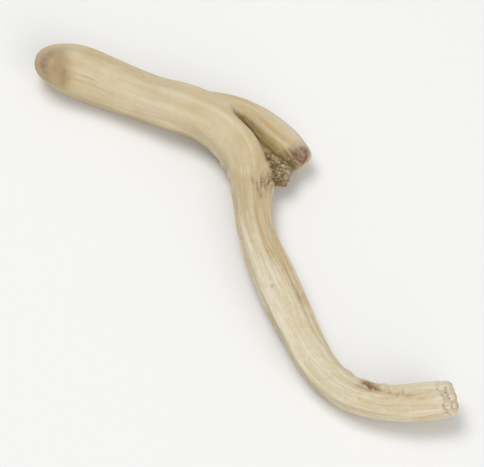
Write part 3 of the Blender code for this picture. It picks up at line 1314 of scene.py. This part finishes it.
@dataclass
class FineTube:
    """Rolls a sheet of faces into a closed tube and works out its stains, painted shade and painted
    highlights.
    """

    name: str
    tube: Tube
    patches: tuple[Colouring, ...]

    # How far round a point its height is compared, in rings and sides, and a full hollow's depth
    hollow_reach: tuple[int, int] = (4, 5)
    hollow_depth: float = 0.10

    # The shares of the painted shade in sunken places on the smooth body, of the chalky painted
    # highlight on what stands out, and of the rot on raised places
    smooth_share: float = 0.4
    highlight_share: float = 0.5
    rot_share: float = 0.15

    def make(self) -> bpy.types.Object:
        """Adds the tube as an object whose mesh is in mm.

        Returns:
            The object, with an attribute for each of the stains, painted shades and painted highlights, and
            one for the straightened place.
        """
        rings = sum(self.tube.rings)
        skin, share, turn = rolled_sheet(self.name, self.tube.sides, rings)
        points, place, relief = TubeForm(self.tube).points(share, turn)
        skin.data.vertices.foreach_set("co", points.ravel())
        self._write_stains_and_light(skin.data, place, self._sunkenness(relief.reshape(rings + 1, -1)))
        self._write_grain(skin.data, place)
        close_sheet()
        return skin

    def _sunkenness(self, relief: Array) -> Array:
        """How deep each point lies below its surroundings.

        Args:
            relief: the sheet of reliefs in mm, one row for each ring.

        Returns:
            One depth in mm for each point.
        """
        sheet = relief[:, :-1]
        smooth = sheet
        for axis, reach in enumerate(self.hollow_reach):
            smooth = sum(np.roll(smooth, step, axis) for step in range(-reach, reach + 1))
            smooth = smooth / (2 * reach + 1)
        below = smooth - sheet
        ends = self.hollow_reach[0] + 1
        below[:ends] = 0.0
        below[-ends:] = 0.0
        return np.concatenate((below, below[:, :1]), axis=1).ravel()

    def _write_stains_and_light(self, mesh: bpy.types.Mesh, place: Place, below: Array) -> None:
        """Writes the strength of each of the stains, painted shades and painted highlights, from 0 to 1, to
        an attribute of its own.

        Args:
            mesh: the sheet's mesh.
            place: where its points lie on the tube.
            below: how deep they lie below their surroundings, in mm.
        """
        strengths = {stain_and_light: np.zeros_like(below) for stain_and_light in StainAndPaintedLight}
        for patch in self.patches:
            strengths[patch.stain_and_light] += patch.amount(place)
        stringy = stringiness(place.along)
        # Sunken places get painted shade and what stands out gets a chalky painted highlight
        depth = below / self.hollow_depth
        hollow_shade = np.clip(depth, 0.0, 1.0)
        strengths[StainAndPaintedLight.HOLLOW] += (self.smooth_share + (1.0 - self.smooth_share) * stringy) * hollow_shade
        strengths[StainAndPaintedLight.CHALK] += self.highlight_share * np.clip(-depth, 0.0, 1.0)
        strengths[StainAndPaintedLight.ROT] *= self.rot_share + (1.0 - self.rot_share) * np.clip(0.5 + depth, 0.0, 1.0)
        for stain_and_light, strength in strengths.items():
            write_layer(mesh, stain_and_light.value, np.clip(strength, 0.0, 1.0))
        write_layer(mesh, STRINGY, stringy)

    def _write_grain(self, mesh: bpy.types.Mesh, place: Place) -> None:
        """Writes where each point would lie if the tube were straight, in mm.

        Args:
            mesh: the sheet's mesh.
            place: where its points lie on the tube.
        """
        turn = np.radians(place.angle)
        straight = (place.along, USUAL_RADIUS * np.cos(turn), USUAL_RADIUS * np.sin(turn))
        write_layer(mesh, GRAIN, np.stack(straight, axis=1))
        write_layer(mesh, KNOWN, np.ones(len(mesh.vertices)))


def tone(red: int, green: int, blue: int) -> Colour:
    """A colour as a shader takes it, from the three numbers that a screen shows it with."""
    linear = [((part / 255.0 + 0.055) / 1.055) ** 2.4 for part in (red, green, blue)]
    return (linear[0], linear[1], linear[2], 1.0)


class Noise(Enum):
    """The noises over the straightened flesh: their stretch along it, scale, detail, roughness."""

    STREAKS = (0.10, 1.5, 5.0, 0.60)
    THREADS = (0.09, 6.0, 4.0, 0.60)
    CLOUDS = (1.0, 0.28, 3.0, 0.55)
    MOTTLE = (1.0, 1.6, 4.0, 0.60)
    GRIT = (1.0, 7.5, 3.0, 0.60)
    STRIAE = (0.12, 15.0, 3.0, 0.60)


@dataclass(frozen=True)
class Layer:
    """A colour laid over the flesh as far as an attribute and a noise let it.

    The noise's range is mapped to two strengths. The attribute counts from its threshold up.
    """

    attribute: str
    colour: Colour
    noise: Noise
    low: float
    high: float
    at_low: float
    at_high: float
    threshold: float = 0.0


@dataclass(frozen=True)
class FleshFinish:
    """The colours and surface of the dried, peeled flesh, and the colours of its painted shade and
    highlights.
    """

    cream: Colour = tone(204, 187, 152)
    straw: Colour = tone(194, 171, 127)
    # Also the colour of the painted highlights
    chalk: Colour = tone(222, 214, 193)
    # Also the colour of painted shade
    tan: Colour = tone(186, 160, 116)
    # The colour of the painted shade in sunken places and along the seam
    ochre_and_shade: Colour = tone(180, 154, 98)
    brown: Colour = tone(112, 86, 58)
    # The colour of the dark painted shade in creases and of the dark spots
    crevice: Colour = tone(104, 82, 44)
    head: Colour = tone(182, 154, 116)
    worn: Colour = tone(156, 134, 94)
    grey: Colour = tone(134, 112, 92)
    tip: Colour = tone(106, 62, 54)
    rot: Colour = tone(96, 80, 62)
    rust: Colour = tone(128, 90, 56)
    speck: Colour = tone(120, 88, 56)

    # Between which values of their noises the straw clouds, the specks and the roughness change,
    # and between which strengths
    cloud_range: Sizes = (0.42, 0.66, 0.0, 0.50)
    speck_range: Sizes = (0.70, 0.78, 0.0, 0.55)
    matt_range: Sizes = (0.30, 0.70, 0.62, 0.80)

    # The shine, and the light that passes under the surface
    shine: float = 0.35
    glow: float = 0.22
    glow_depth: float = 0.9 * MM
    glow_reach: Sizes = (1.0, 0.62, 0.34)

    # The roughness of the torn fibres
    fibre_roughness: float = 0.70

    # How strongly the fine relief shows, its height, and what each noise adds to it
    relief: float = 0.42
    relief_height: float = 0.05 * MM
    relief_shares: tuple[tuple[Noise, float], ...] = (
        (Noise.THREADS, 1.2),
        (Noise.STRIAE, 0.8),
        (Noise.GRIT, 0.7),
    )

    def layers(self) -> tuple[Layer, ...]:
        """The colours that are laid over the flesh, the undermost first.

        Returns:
            The streaks and threads, then the stains, painted shade and painted highlights.
        """
        return (
            Layer(STRINGY, self.straw, Noise.STREAKS, 0.50, 0.66, 0.0, 0.85),
            Layer(STRINGY, self.chalk, Noise.STREAKS, 0.30, 0.50, 0.85, 0.0),
            Layer(STRINGY, self.tan, Noise.THREADS, 0.54, 0.68, 0.0, 0.50),
            Layer(STRINGY, self.chalk, Noise.MOTTLE, 0.28, 0.54, 0.40, 0.0),
            # The tan layer is partly painted shade and the pale chalky layer partly painted highlight
            Layer(StainAndPaintedLight.TAN.value, self.tan, Noise.STREAKS, 0.34, 0.60, 0.35, 0.95),
            Layer(StainAndPaintedLight.CHALK.value, self.chalk, Noise.THREADS, 0.38, 0.60, 0.95, 0.50),
            Layer(StainAndPaintedLight.HEAD.value, self.head, Noise.MOTTLE, 0.30, 0.70, 0.95, 0.60),
            Layer(StainAndPaintedLight.WORN.value, self.worn, Noise.MOTTLE, 0.30, 0.70, 0.95, 0.70),
            Layer(StainAndPaintedLight.GREY.value, self.grey, Noise.MOTTLE, 0.30, 0.70, 0.90, 0.55),
            # Painted shade in sunken places and along the seam, in ochre
            Layer(StainAndPaintedLight.HOLLOW.value, self.ochre_and_shade, Noise.MOTTLE, 0.30, 0.65, 0.80, 0.45, 0.35),
            Layer(StainAndPaintedLight.BROWN.value, self.brown, Noise.GRIT, 0.38, 0.60, 0.30, 0.95),
            Layer(StainAndPaintedLight.TIP.value, self.tip, Noise.MOTTLE, 0.34, 0.60, 1.0, 0.62),
            # Dark painted shade in creases, with a few dark spots
            Layer(StainAndPaintedLight.CREVICE.value, self.crevice, Noise.MOTTLE, 0.30, 0.70, 0.95, 0.60),
            Layer(StainAndPaintedLight.ROT.value, self.rot, Noise.MOTTLE, 0.36, 0.60, 0.45, 1.0),
            Layer(StainAndPaintedLight.RUST.value, self.rust, Noise.GRIT, 0.36, 0.60, 0.45, 1.0),
        )


class NodeBoard:
    """Adds and links the nodes of one material."""

    # Where a colour mix node has its two colours and its result
    mix_first: ClassVar[int] = 6
    mix_second: ClassVar[int] = 7
    mix_result: ClassVar[int] = 2

    def __init__(self, name: str) -> None:
        """Makes an empty material with its output and shader.

        Args:
            name: what the material is called.
        """
        self.material = bpy.data.materials.new(name)
        self.material.use_nodes = True
        self.tree = self.material.node_tree
        self.shader = self.tree.nodes["Principled BSDF"]

    def add(self, kind: str, **settings: object) -> bpy.types.Node:
        """Adds a node.

        Args:
            kind: the node's type.
            **settings: its settings, by name.

        Returns:
            The node.
        """
        node = self.tree.nodes.new(kind)
        for key, value in settings.items():
            setattr(node, key, value)
        return node

    def link(self, source: Socket, target: Socket) -> None:
        """Links one socket to another."""
        self.tree.links.new(source, target)

    def feed(self, value: Socket | float | Colour, target: Socket) -> None:
        """Links a socket to another one, or sets it to a number or colour.

        Args:
            value: the socket, number or colour.
            target: the socket that gets it.
        """
        if isinstance(value, Socket):
            self.link(value, target)
        else:
            target.default_value = value

    def dress(self, inputs: dict[str, Socket | float | Colour]) -> None:
        """Links or sets the shader's inputs."""
        for name, value in inputs.items():
            self.feed(value, self.shader.inputs[name])

    def attribute(self, name: str) -> bpy.types.Node:
        """Reads a mesh attribute."""
        return self.add("ShaderNodeAttribute", attribute_name=name)

    def noise(self, vector: Socket, pattern: Sizes) -> Socket:
        """Adds a noise.

        Args:
            vector: where the noise is read.
            pattern: the stretch along X, scale, detail and roughness.

        Returns:
            The noise's value.
        """
        stretch, scale, detail, rough = pattern
        if stretch != 1.0:
            mapping = self.add("ShaderNodeMapping")
            mapping.inputs["Scale"].default_value = (stretch, 1.0, 1.0)
            self.link(vector, mapping.inputs["Vector"])
            vector = mapping.outputs["Vector"]
        node = self.add("ShaderNodeTexNoise")
        for name, value in (("Vector", vector), ("Scale", scale), ("Detail", detail), ("Roughness", rough)):
            self.feed(value, node.inputs[name])
        return node.outputs["Fac"]

    def ranged(
        self, value: Socket, low: float, high: float, at_low: float = 0.0, at_high: float = 1.0
    ) -> Socket:
        """Maps a value from one range to another, smoothly and held at its ends.

        Args:
            value: the value.
            low: where its range begins.
            high: where its range ends.
            at_low: what it becomes at low.
            at_high: what it becomes at high.

        Returns:
            The mapped value.
        """
        node = self.add("ShaderNodeMapRange", interpolation_type="SMOOTHSTEP")
        self.link(value, node.inputs["Value"])
        ends = {"From Min": low, "From Max": high, "To Min": at_low, "To Max": at_high}
        for name, end in ends.items():
            node.inputs[name].default_value = end
        return node.outputs["Result"]

    def reckoned(self, operation: str, first: Socket, second: Socket | float) -> Socket:
        """Reckons with two values.

        Args:
            operation: MULTIPLY or ADD.
            first: one value.
            second: the other value.

        Returns:
            The product or the sum.
        """
        node = self.add("ShaderNodeMath", operation=operation)
        self.link(first, node.inputs[0])
        self.feed(second, node.inputs[1])
        return node.outputs[0]

    def tinted(self, base: Socket | Colour, colour: Colour, amount: Socket) -> Socket:
        """Lays a colour over a base.

        Args:
            base: the colour below.
            colour: the colour that is laid over it.
            amount: how far it covers the base, from 0 to 1.

        Returns:
            The mixed colour.
        """
        node = self.add("ShaderNodeMix", data_type="RGBA")
        self.link(amount, node.inputs["Factor"])
        self.feed(base, node.inputs[self.mix_first])
        node.inputs[self.mix_second].default_value = colour
        return node.outputs[self.mix_result]


class FleshMaterial:
    """Builds the shader of the dried flesh."""

    def __init__(self, finish: FleshFinish) -> None:
        """Takes the finish and sets out its noises.

        Args:
            finish: the flesh's colours and surface.
        """
        self.finish = finish
        self.board = NodeBoard("dried_flesh")
        grain = self.board.attribute(GRAIN).outputs["Vector"]
        self.noises = {noise: self.board.noise(grain, noise.value) for noise in Noise}

    def build(self) -> bpy.types.Material:
        """Builds the shader.

        Returns:
            The material.
        """
        board, finish = self.board, self.finish
        inputs = {
            "Base Color": self._colour(),
            "Roughness": board.ranged(self.noises[Noise.MOTTLE], *finish.matt_range),
            "Specular IOR Level": finish.shine,
            "Subsurface Weight": finish.glow,
            "Subsurface Radius": finish.glow_reach,
            "Subsurface Scale": finish.glow_depth,
            "Normal": self._relief(),
        }
        board.dress(inputs)
        return board.material

    def _colour(self) -> Socket:
        """Lays straw clouds, the layers and dark specks over the cream flesh.

        Returns:
            The colour.
        """
        board, finish, noises = self.board, self.finish, self.noises
        clouds = board.ranged(noises[Noise.CLOUDS], *finish.cloud_range)
        colour = board.tinted(finish.cream, finish.straw, clouds)
        for layer in finish.layers():
            amount = board.attribute(layer.attribute).outputs["Fac"]
            if layer.threshold > 0.0:
                amount = board.ranged(amount, layer.threshold, 1.0)
            breakup = board.ranged(noises[layer.noise], layer.low, layer.high, layer.at_low, layer.at_high)
            colour = board.tinted(colour, layer.colour, board.reckoned("MULTIPLY", amount, breakup))
        return board.tinted(colour, finish.speck, board.ranged(noises[Noise.GRIT], *finish.speck_range))

    def _relief(self) -> Socket:
        """Adds the striae and grit that are too fine for the mesh.

        Returns:
            The surface's direction.
        """
        board, finish = self.board, self.finish
        parts = [
            board.reckoned("MULTIPLY", self.noises[noise], share)
            for noise, share in finish.relief_shares
        ]
        height = parts[0]
        for part in parts[1:]:
            height = board.reckoned("ADD", height, part)
        bump = board.add("ShaderNodeBump")
        bump.inputs["Strength"].default_value = finish.relief
        bump.inputs["Distance"].default_value = finish.relief_height
        board.link(height, bump.inputs["Height"])
        return bump.outputs["Normal"]


def tree_of(mesh: bpy.types.Mesh, indices: Sequence[int]) -> kdtree.KDTree:
    """Sorts some of a mesh's points so that the nearest one is found fast.

    Args:
        mesh: the mesh.
        indices: which of its points count.

    Returns:
        The points, each with its index.
    """
    tree = kdtree.KDTree(len(indices))
    for index in indices:
        tree.insert(mesh.vertices[index].co, int(index))
    tree.balance()
    return tree


@dataclass
class MusliRoot:
    """The whole root: body and tail, with the finger and the torn stub grown into its side."""

    finish: FleshFinish

    # Where the seam of the finger begins to part from the body and where it has parted, in mm
    parting: Range = (22.5, 26.0)

    # How wide and how strongly the seam is softened where it is fused and where it has parted
    softening: Range = (1.50, 0.30)
    softness: Range = (1.0, 0.11)
    smooth_factor: float = 0.5
    smooth_passes: int = 60

    # How wide the painted shade and its dark line lie along the parted seam, and how strongly
    seam_shade_width: float = 0.85
    seam_line: float = 0.30
    seam_shade: float = 0.95

    # Where the model's own origin lies in the frame that the sections are given in, in mm
    shift: Array = field(init=False)

    def __post_init__(self) -> None:
        """Finds the shift."""
        self.shift = self._shift_to_frame()

    def _shift_to_frame(self) -> Array:
        """The middle of the solid's own box before it was put in the frame.

        Returns:
            The three lengths in mm.
        """
        clouds = []
        for tube in (COARSE_ROOT, COARSE_FINGER, COARSE_STUB):
            rings = sum(tube.rings)
            ring, side = np.meshgrid(np.arange(rings + 1), np.arange(tube.sides), indexing="ij")
            turn = side.ravel() / tube.sides * math.tau
            turn = (turn + math.pi) % math.tau - math.pi
            clouds.append(TubeForm(tube).points(ring.ravel() / rings, turn)[0])
        points = np.concatenate(clouds)
        middle = (points.min(axis=0) + points.max(axis=0)) / 2.0
        middle[2] = 0.0
        return middle

    def build(self) -> bpy.types.Object:
        """Makes the root's mesh, joins the finger and the stub to it and dresses it.

        Returns:
            The finished object, in the model's frame.
        """
        body = FineTube("musli_root", FINE_ROOT, ROOT_PATCHES).make()
        self._join(body, FineTube("finger", FINE_FINGER, FINGER_PATCHES).make())
        self._join(body, FineTube("stub", FINE_STUB, STUB_PATCHES).make())
        self._finish_seam(body, self._fill_new_points(body.data))
        self.settle(body.data)
        body.data.shade_smooth()
        body.data.materials.clear()
        body.data.materials.append(FleshMaterial(self.finish).build())
        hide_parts(CAD_NODE)
        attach(body, CAD_BODY)
        return body

    def _join(self, body: bpy.types.Object, limb: bpy.types.Object) -> None:
        """Fuses a limb into the body with a Boolean union and removes its own object.

        Args:
            body: what the limb is joined to.
            limb: the finger or the stub.
        """
        union = body.modifiers.new("join", "BOOLEAN")
        union.operation = "UNION"
        union.solver = "MANIFOLD"
        union.object = limb
        select_only(body)
        bpy.ops.object.modifier_apply(modifier=union.name)
        bpy.data.objects.remove(limb)

    def _fill_new_points(self, mesh: bpy.types.Mesh) -> list[int]:
        """Gives the points that the union made along the seam their neighbours' values.

        Args:
            mesh: the joined mesh.

        Returns:
            The seam's points.
        """
        known = np.empty(len(mesh.vertices))
        mesh.attributes[KNOWN].data.foreach_get("value", known)
        seam = np.flatnonzero(known < 0.5)
        tree = tree_of(mesh, np.flatnonzero(known >= 0.5))
        nearest = [tree.find(mesh.vertices[index].co)[1] for index in seam]
        for name in (STRINGY, *(stain_and_light.value for stain_and_light in StainAndPaintedLight)):
            data = mesh.attributes[name].data
            for index, source in zip(seam, nearest):
                data[index].value = data[source].value
        grain = mesh.attributes[GRAIN].data
        for index, source in zip(seam, nearest):
            grain[index].vector = grain[source].vector
        mesh.attributes.remove(mesh.attributes[KNOWN])
        return [int(index) for index in seam]

    def _finish_seam(self, body: bpy.types.Object, seam: list[int]) -> None:
        """Paints shade along the seam where it has parted, and rounds its crease.

        Args:
            body: the joined root.
            seam: the points of the seam.
        """
        tree = tree_of(body.data, seam)
        distance = np.array([tree.find(vertex.co)[2] for vertex in body.data.vertices])
        ahead = np.array([vertex.co.x for vertex in body.data.vertices])
        parted = eased(share_between(ahead, *self.parting))
        self._shade_seam(body.data, distance, parted)
        self._round_seam(body, distance, parted)

    def _shade_seam(self, mesh: bpy.types.Mesh, distance: Array, parted: Array) -> None:
        """Paints shade and a dark line of shade along the seam.

        Args:
            mesh: the root's mesh.
            distance: how far each point lies from the seam, in mm.
            parted: how far the seam has parted there, from 0 to 1.
        """
        for stain_and_light, width in ((StainAndPaintedLight.HOLLOW, self.seam_shade_width), (StainAndPaintedLight.CREVICE, self.seam_line)):
            data = mesh.attributes[stain_and_light.value].data
            strength = np.empty(len(mesh.vertices))
            data.foreach_get("value", strength)
            near = parted * bell(distance, width)
            data.foreach_set("value", np.clip(strength + self.seam_shade * near, 0.0, 1.0))

    def _round_seam(self, body: bpy.types.Object, distance: Array, parted: Array) -> None:
        """Softens the crease along the seam, widely where it is fused.

        Args:
            body: the root.
            distance: how far each point lies from the seam, in mm.
            parted: how far the seam has parted there, from 0 to 1.
        """
        weights = body.vertex_groups.new(name="seam")
        reach = self.softening[0] + parted * (self.softening[1] - self.softening[0])
        strength = self.softness[0] + parted * (self.softness[1] - self.softness[0])
        for index in np.flatnonzero(distance < 3.0 * reach):
            weight = strength[index] * math.exp(-((distance[index] / reach[index]) ** 2))
            weights.add([int(index)], weight, "REPLACE")
        smooth = body.modifiers.new("soften", "SMOOTH")
        smooth.vertex_group = weights.name
        smooth.factor = self.smooth_factor
        smooth.iterations = self.smooth_passes
        bpy.ops.object.modifier_apply(modifier=smooth.name)
        body.vertex_groups.clear()

    def settle(self, mesh: bpy.types.Mesh) -> None:
        """Presses the underside flat and puts the mesh in the model's frame, inside its box.

        Args:
            mesh: a mesh in mm, in the sections' own frame.
        """
        points = np.empty(len(mesh.vertices) * 3)
        mesh.vertices.foreach_get("co", points)
        points = (points.reshape(-1, 3) - self.shift) * MM
        points = np.clip(points, np.array(CAD_LOW), np.array(CAD_HIGH))
        mesh.vertices.foreach_set("co", points.ravel())
        mesh.update()


@dataclass(frozen=True)
class Tuft:
    """Torn fibres on one part of a tube: how many, between which limits, in mm and degrees.

    A lean of 0 lays them along the heading and 1 stands them straight out. Their shade runs from
    0, pale, to 1, dark.
    """

    tube: Tube
    count: int
    along: Range
    angle: Range
    length: Range
    lean: Range
    shade: Range


TUFTS = (
    Tuft(FINE_ROOT, 150, (80.5, 81.7), (0.0, 360.0), (0.10, 0.34), (0.02, 0.25), (0.0, 0.45)),
    Tuft(FINE_ROOT, 50, (81.7, 82.49), (0.0, 360.0), (0.06, 0.17), (0.08, 0.42), (0.1, 0.7)),
    Tuft(FINE_ROOT, 18, (70.6, 73.4), (50.0, 84.0), (0.16, 0.32), (0.05, 0.25), (0.4, 0.9)),
    Tuft(FINE_ROOT, 14, (52.8, 54.6), (34.0, 46.0), (0.16, 0.34), (0.05, 0.30), (0.1, 0.6)),
    Tuft(FINE_ROOT, 30, (33.0, 37.6), (10.0, 76.0), (0.16, 0.34), (0.05, 0.30), (0.2, 0.9)),
    Tuft(FINE_FINGER, 30, (16.6, 18.5), (30.0, 150.0), (0.16, 0.36), (0.05, 0.40), (0.5, 1.0)),
    Tuft(FINE_STUB, 40, (2.4, 4.9), (20.0, 230.0), (0.16, 0.34), (0.10, 0.60), (0.4, 1.0)),
)


@dataclass
class Fibres:
    """The torn fibres: one bent strand, copied to every tuft."""

    root: MusliRoot
    tufts: tuple[Tuft, ...] = TUFTS
    seed: int = 201

    # A fibre's facets round its section and along it
    facets: tuple[int, int] = (6, 5)

    # The thickness of a fibre's foot as a share of its length, how fast the foot swells to it, and
    # how bluntly the fibre tapers
    thickness: Range = (0.28, 0.55)
    swelling: float = 4.0
    taper: float = 0.42

    # How far a fibre waves as it bends and how often, and how much its bend is turned at random
    wave: float = 0.25
    wave_rate: float = 5.0
    bend_turn: Range = (-0.6, 0.6)

    # How deep a fibre starts below the surface, in mm
    depth: float = 0.07

    # The fine mottling of the dark fibres, over metres, and between which of its values and
    # strengths it changes
    mottle: Sizes = (1.0, 2600.0, 2.0, 0.5)
    mottle_range: Sizes = (0.3, 0.7, 0.5, 0.9)

    # Between which shades the fibres turn tan, and then brown
    tan_range: Range = (0.1, 0.7)
    brown_range: Range = (0.4, 1.0)

    def build(self) -> bpy.types.Object:
        """Makes the fibres.

        Returns:
            One object of all the fibres, in the model's frame.
        """
        strand = self._strand()
        rng = np.random.default_rng(self.seed)
        copies = []
        for tuft in self.tufts:
            copies += self._stand(strand, tuft, rng)
        bpy.data.objects.remove(strand)
        select_only(*copies)
        bpy.ops.object.join()
        fibres = bpy.context.object
        fibres.name = "torn_fibres"
        self.root.settle(fibres.data)
        fibres.data.shade_smooth()
        fibres.data.materials.append(self._material())
        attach(fibres, CAD_BODY)
        return fibres

    def _strand(self) -> bpy.types.Object:
        """Makes one tapering strand of length and width 1 along Z, bent towards X.

        Returns:
            The strand, with an attribute for its shade.
        """
        strand, rise, turn = rolled_sheet("strand", *self.facets)
        thick = 0.5 * np.sqrt(np.clip(self.swelling * rise, 0.0, 1.0)) * (1.0 - rise) ** self.taper
        bend = rise**2 + self.wave * np.sin(self.wave_rate * rise)
        points = np.stack((thick * np.cos(turn) + bend, thick * np.sin(turn), rise), axis=1)
        strand.data.vertices.foreach_set("co", points.ravel())
        close_sheet()
        strand.data.attributes.new(SHADE, "FLOAT", "POINT")
        return strand

    def _stand(
        self, strand: bpy.types.Object, tuft: Tuft, rng: np.random.Generator
    ) -> list[bpy.types.Object]:
        """Copies the strand to a tuft's places, leaving out what would reach out of the box.

        Args:
            strand: the strand to copy.
            tuft: where the copies stand.
            rng: draws their sizes and places.

        Returns:
            The copies.
        """
        draw = rng.uniform
        turn = np.radians(draw(*tuft.angle, tuft.count))
        points, outward, heading = TubeForm(tuft.tube).stances(draw(*tuft.along, tuft.count), turn)
        low, high = (np.array(corner) / MM + self.root.shift for corner in (CAD_LOW, CAD_HIGH))
        copies = []
        for point, out, ahead in zip(points, outward, heading):
            lean, length = draw(*tuft.lean), draw(*tuft.length)
            rise = Vector(out * lean + ahead * (1.0 - lean)).normalized()
            bend = (Vector(out) + Vector(draw(*self.bend_turn, 3))).cross(rise).normalized()
            thick = length * draw(*self.thickness)
            side = rise.cross(bend)
            place = Matrix((bend * thick, side * thick, rise * length)).transposed().to_4x4()
            place.translation = Vector(point - out * self.depth)
            copy = strand.copy()
            copy.data = strand.data.copy()
            copy.data.transform(place)
            ends = np.array([vertex.co for vertex in copy.data.vertices])
            if not ((ends >= low).all() and (ends <= high).all()):
                bpy.data.objects.remove(copy)
                continue
            shade = np.full(len(ends), draw(*tuft.shade))
            copy.data.attributes[SHADE].data.foreach_set("value", shade)
            bpy.context.collection.objects.link(copy)
            copies.append(copy)
        return copies

    def _material(self) -> bpy.types.Material:
        """Builds the flesh of the fibres, pale to dark.

        Returns:
            The material.
        """
        board, finish = NodeBoard("torn_fibre"), self.root.finish
        place = board.add("ShaderNodeTexCoord").outputs["Object"]
        mottle = board.ranged(board.noise(place, self.mottle), *self.mottle_range)
        shade = board.attribute(SHADE).outputs["Fac"]
        colour = board.tinted(finish.chalk, finish.tan, board.ranged(shade, *self.tan_range))
        darkness = board.reckoned("MULTIPLY", board.ranged(shade, *self.brown_range), mottle)
        colour = board.tinted(colour, finish.brown, darkness)
        board.dress({"Base Color": colour, "Roughness": finish.fibre_roughness})
        return board.material


@dataclass(frozen=True)
class SoftLight:
    """A square area light that faces the root: its place and size in metres, its power in watts."""

    name: str
    place: tuple[float, float, float]
    size: float
    power: float

    def build(self) -> None:
        """Adds the light."""
        bpy.ops.object.light_add(type="AREA", location=self.place)
        light = bpy.context.object
        light.name = self.name
        light.data.size = self.size
        light.data.energy = self.power
        light.rotation_mode = "QUATERNION"
        light.rotation_quaternion = (-Vector(self.place)).to_track_quat("-Z", "Y")


@dataclass
class Studio:
    """The pale floor, the soft lights and the camera, in metres and degrees."""

    floor_size: float = 1.6
    floor_tone: Colour = tone(236, 235, 233)
    floor_roughness: float = 0.85
    sky_tone: Colour = (0.96, 0.98, 1.0, 1.0)
    sky_strength: float = 0.48
    azimuth: float = 43.5
    elevation: float = 55.0
    distance: float = 1.50
    lens: float = 909.0
    nearest: float = 0.01
    aim: tuple[float, float, float] = (-0.0003, -0.0025, 0.0026)

    # A soft light from above on the left, and a broader one from the front on the right
    lights: tuple[SoftLight, ...] = (
        SoftLight("key_light", (-0.22, -0.01, 0.60), 0.36, 2.1),
        SoftLight("fill_light", (0.60, -0.18, 0.32), 0.60, 2.5),
    )

    def build(self) -> None:
        """Sets up everything round the root."""
        self._floor()
        for light in self.lights:
            light.build()
        self._sky()
        self._camera()

    def _floor(self) -> None:
        """Adds a plain pale floor."""
        select_only()
        bpy.ops.mesh.primitive_plane_add(size=self.floor_size, location=(0.0, 0.0, 0.0))
        floor = bpy.context.object
        floor.name = "floor"
        board = NodeBoard("pale_floor")
        board.dress({"Base Color": self.floor_tone, "Roughness": self.floor_roughness})
        floor.data.materials.append(board.material)

    def _sky(self) -> None:
        """Gives the studio a pale sky."""
        world = bpy.data.worlds.new("pale_sky")
        world.use_nodes = True
        sky = world.node_tree.nodes["Background"]
        sky.inputs["Color"].default_value = self.sky_tone
        sky.inputs["Strength"].default_value = self.sky_strength
        bpy.context.scene.world = world

    def _camera(self) -> None:
        """Adds a long lens that looks down on the root as the photograph does."""
        turn, tilt = math.radians(self.azimuth), math.radians(self.elevation)
        back = Vector((math.sin(turn) * math.cos(tilt), -math.cos(turn) * math.cos(tilt), math.sin(tilt)))
        bpy.ops.object.camera_add(location=Vector(self.aim) + back * self.distance)
        camera = bpy.context.object
        camera.data.lens = self.lens
        camera.data.clip_start = self.nearest
        camera.rotation_mode = "QUATERNION"
        camera.rotation_quaternion = (-back).to_track_quat("-Z", "Y")
        bpy.context.scene.camera = camera
        bpy.context.scene.view_settings.view_transform = "Standard"


def main() -> None:
    """Builds the root and the studio."""
    logging.basicConfig(level=logging.INFO, format="%(name)s: %(message)s")
    root = MusliRoot(FleshFinish())
    flesh = root.build()
    LOG.info("root: %d points, %d faces", len(flesh.data.vertices), len(flesh.data.polygons))
    fibres = Fibres(root).build()
    LOG.info("torn fibres: %d faces", len(fibres.data.polygons))
    Studio().build()
    LOG.info("studio: floor, lights and camera")


if __name__ == "__main__":
    main()
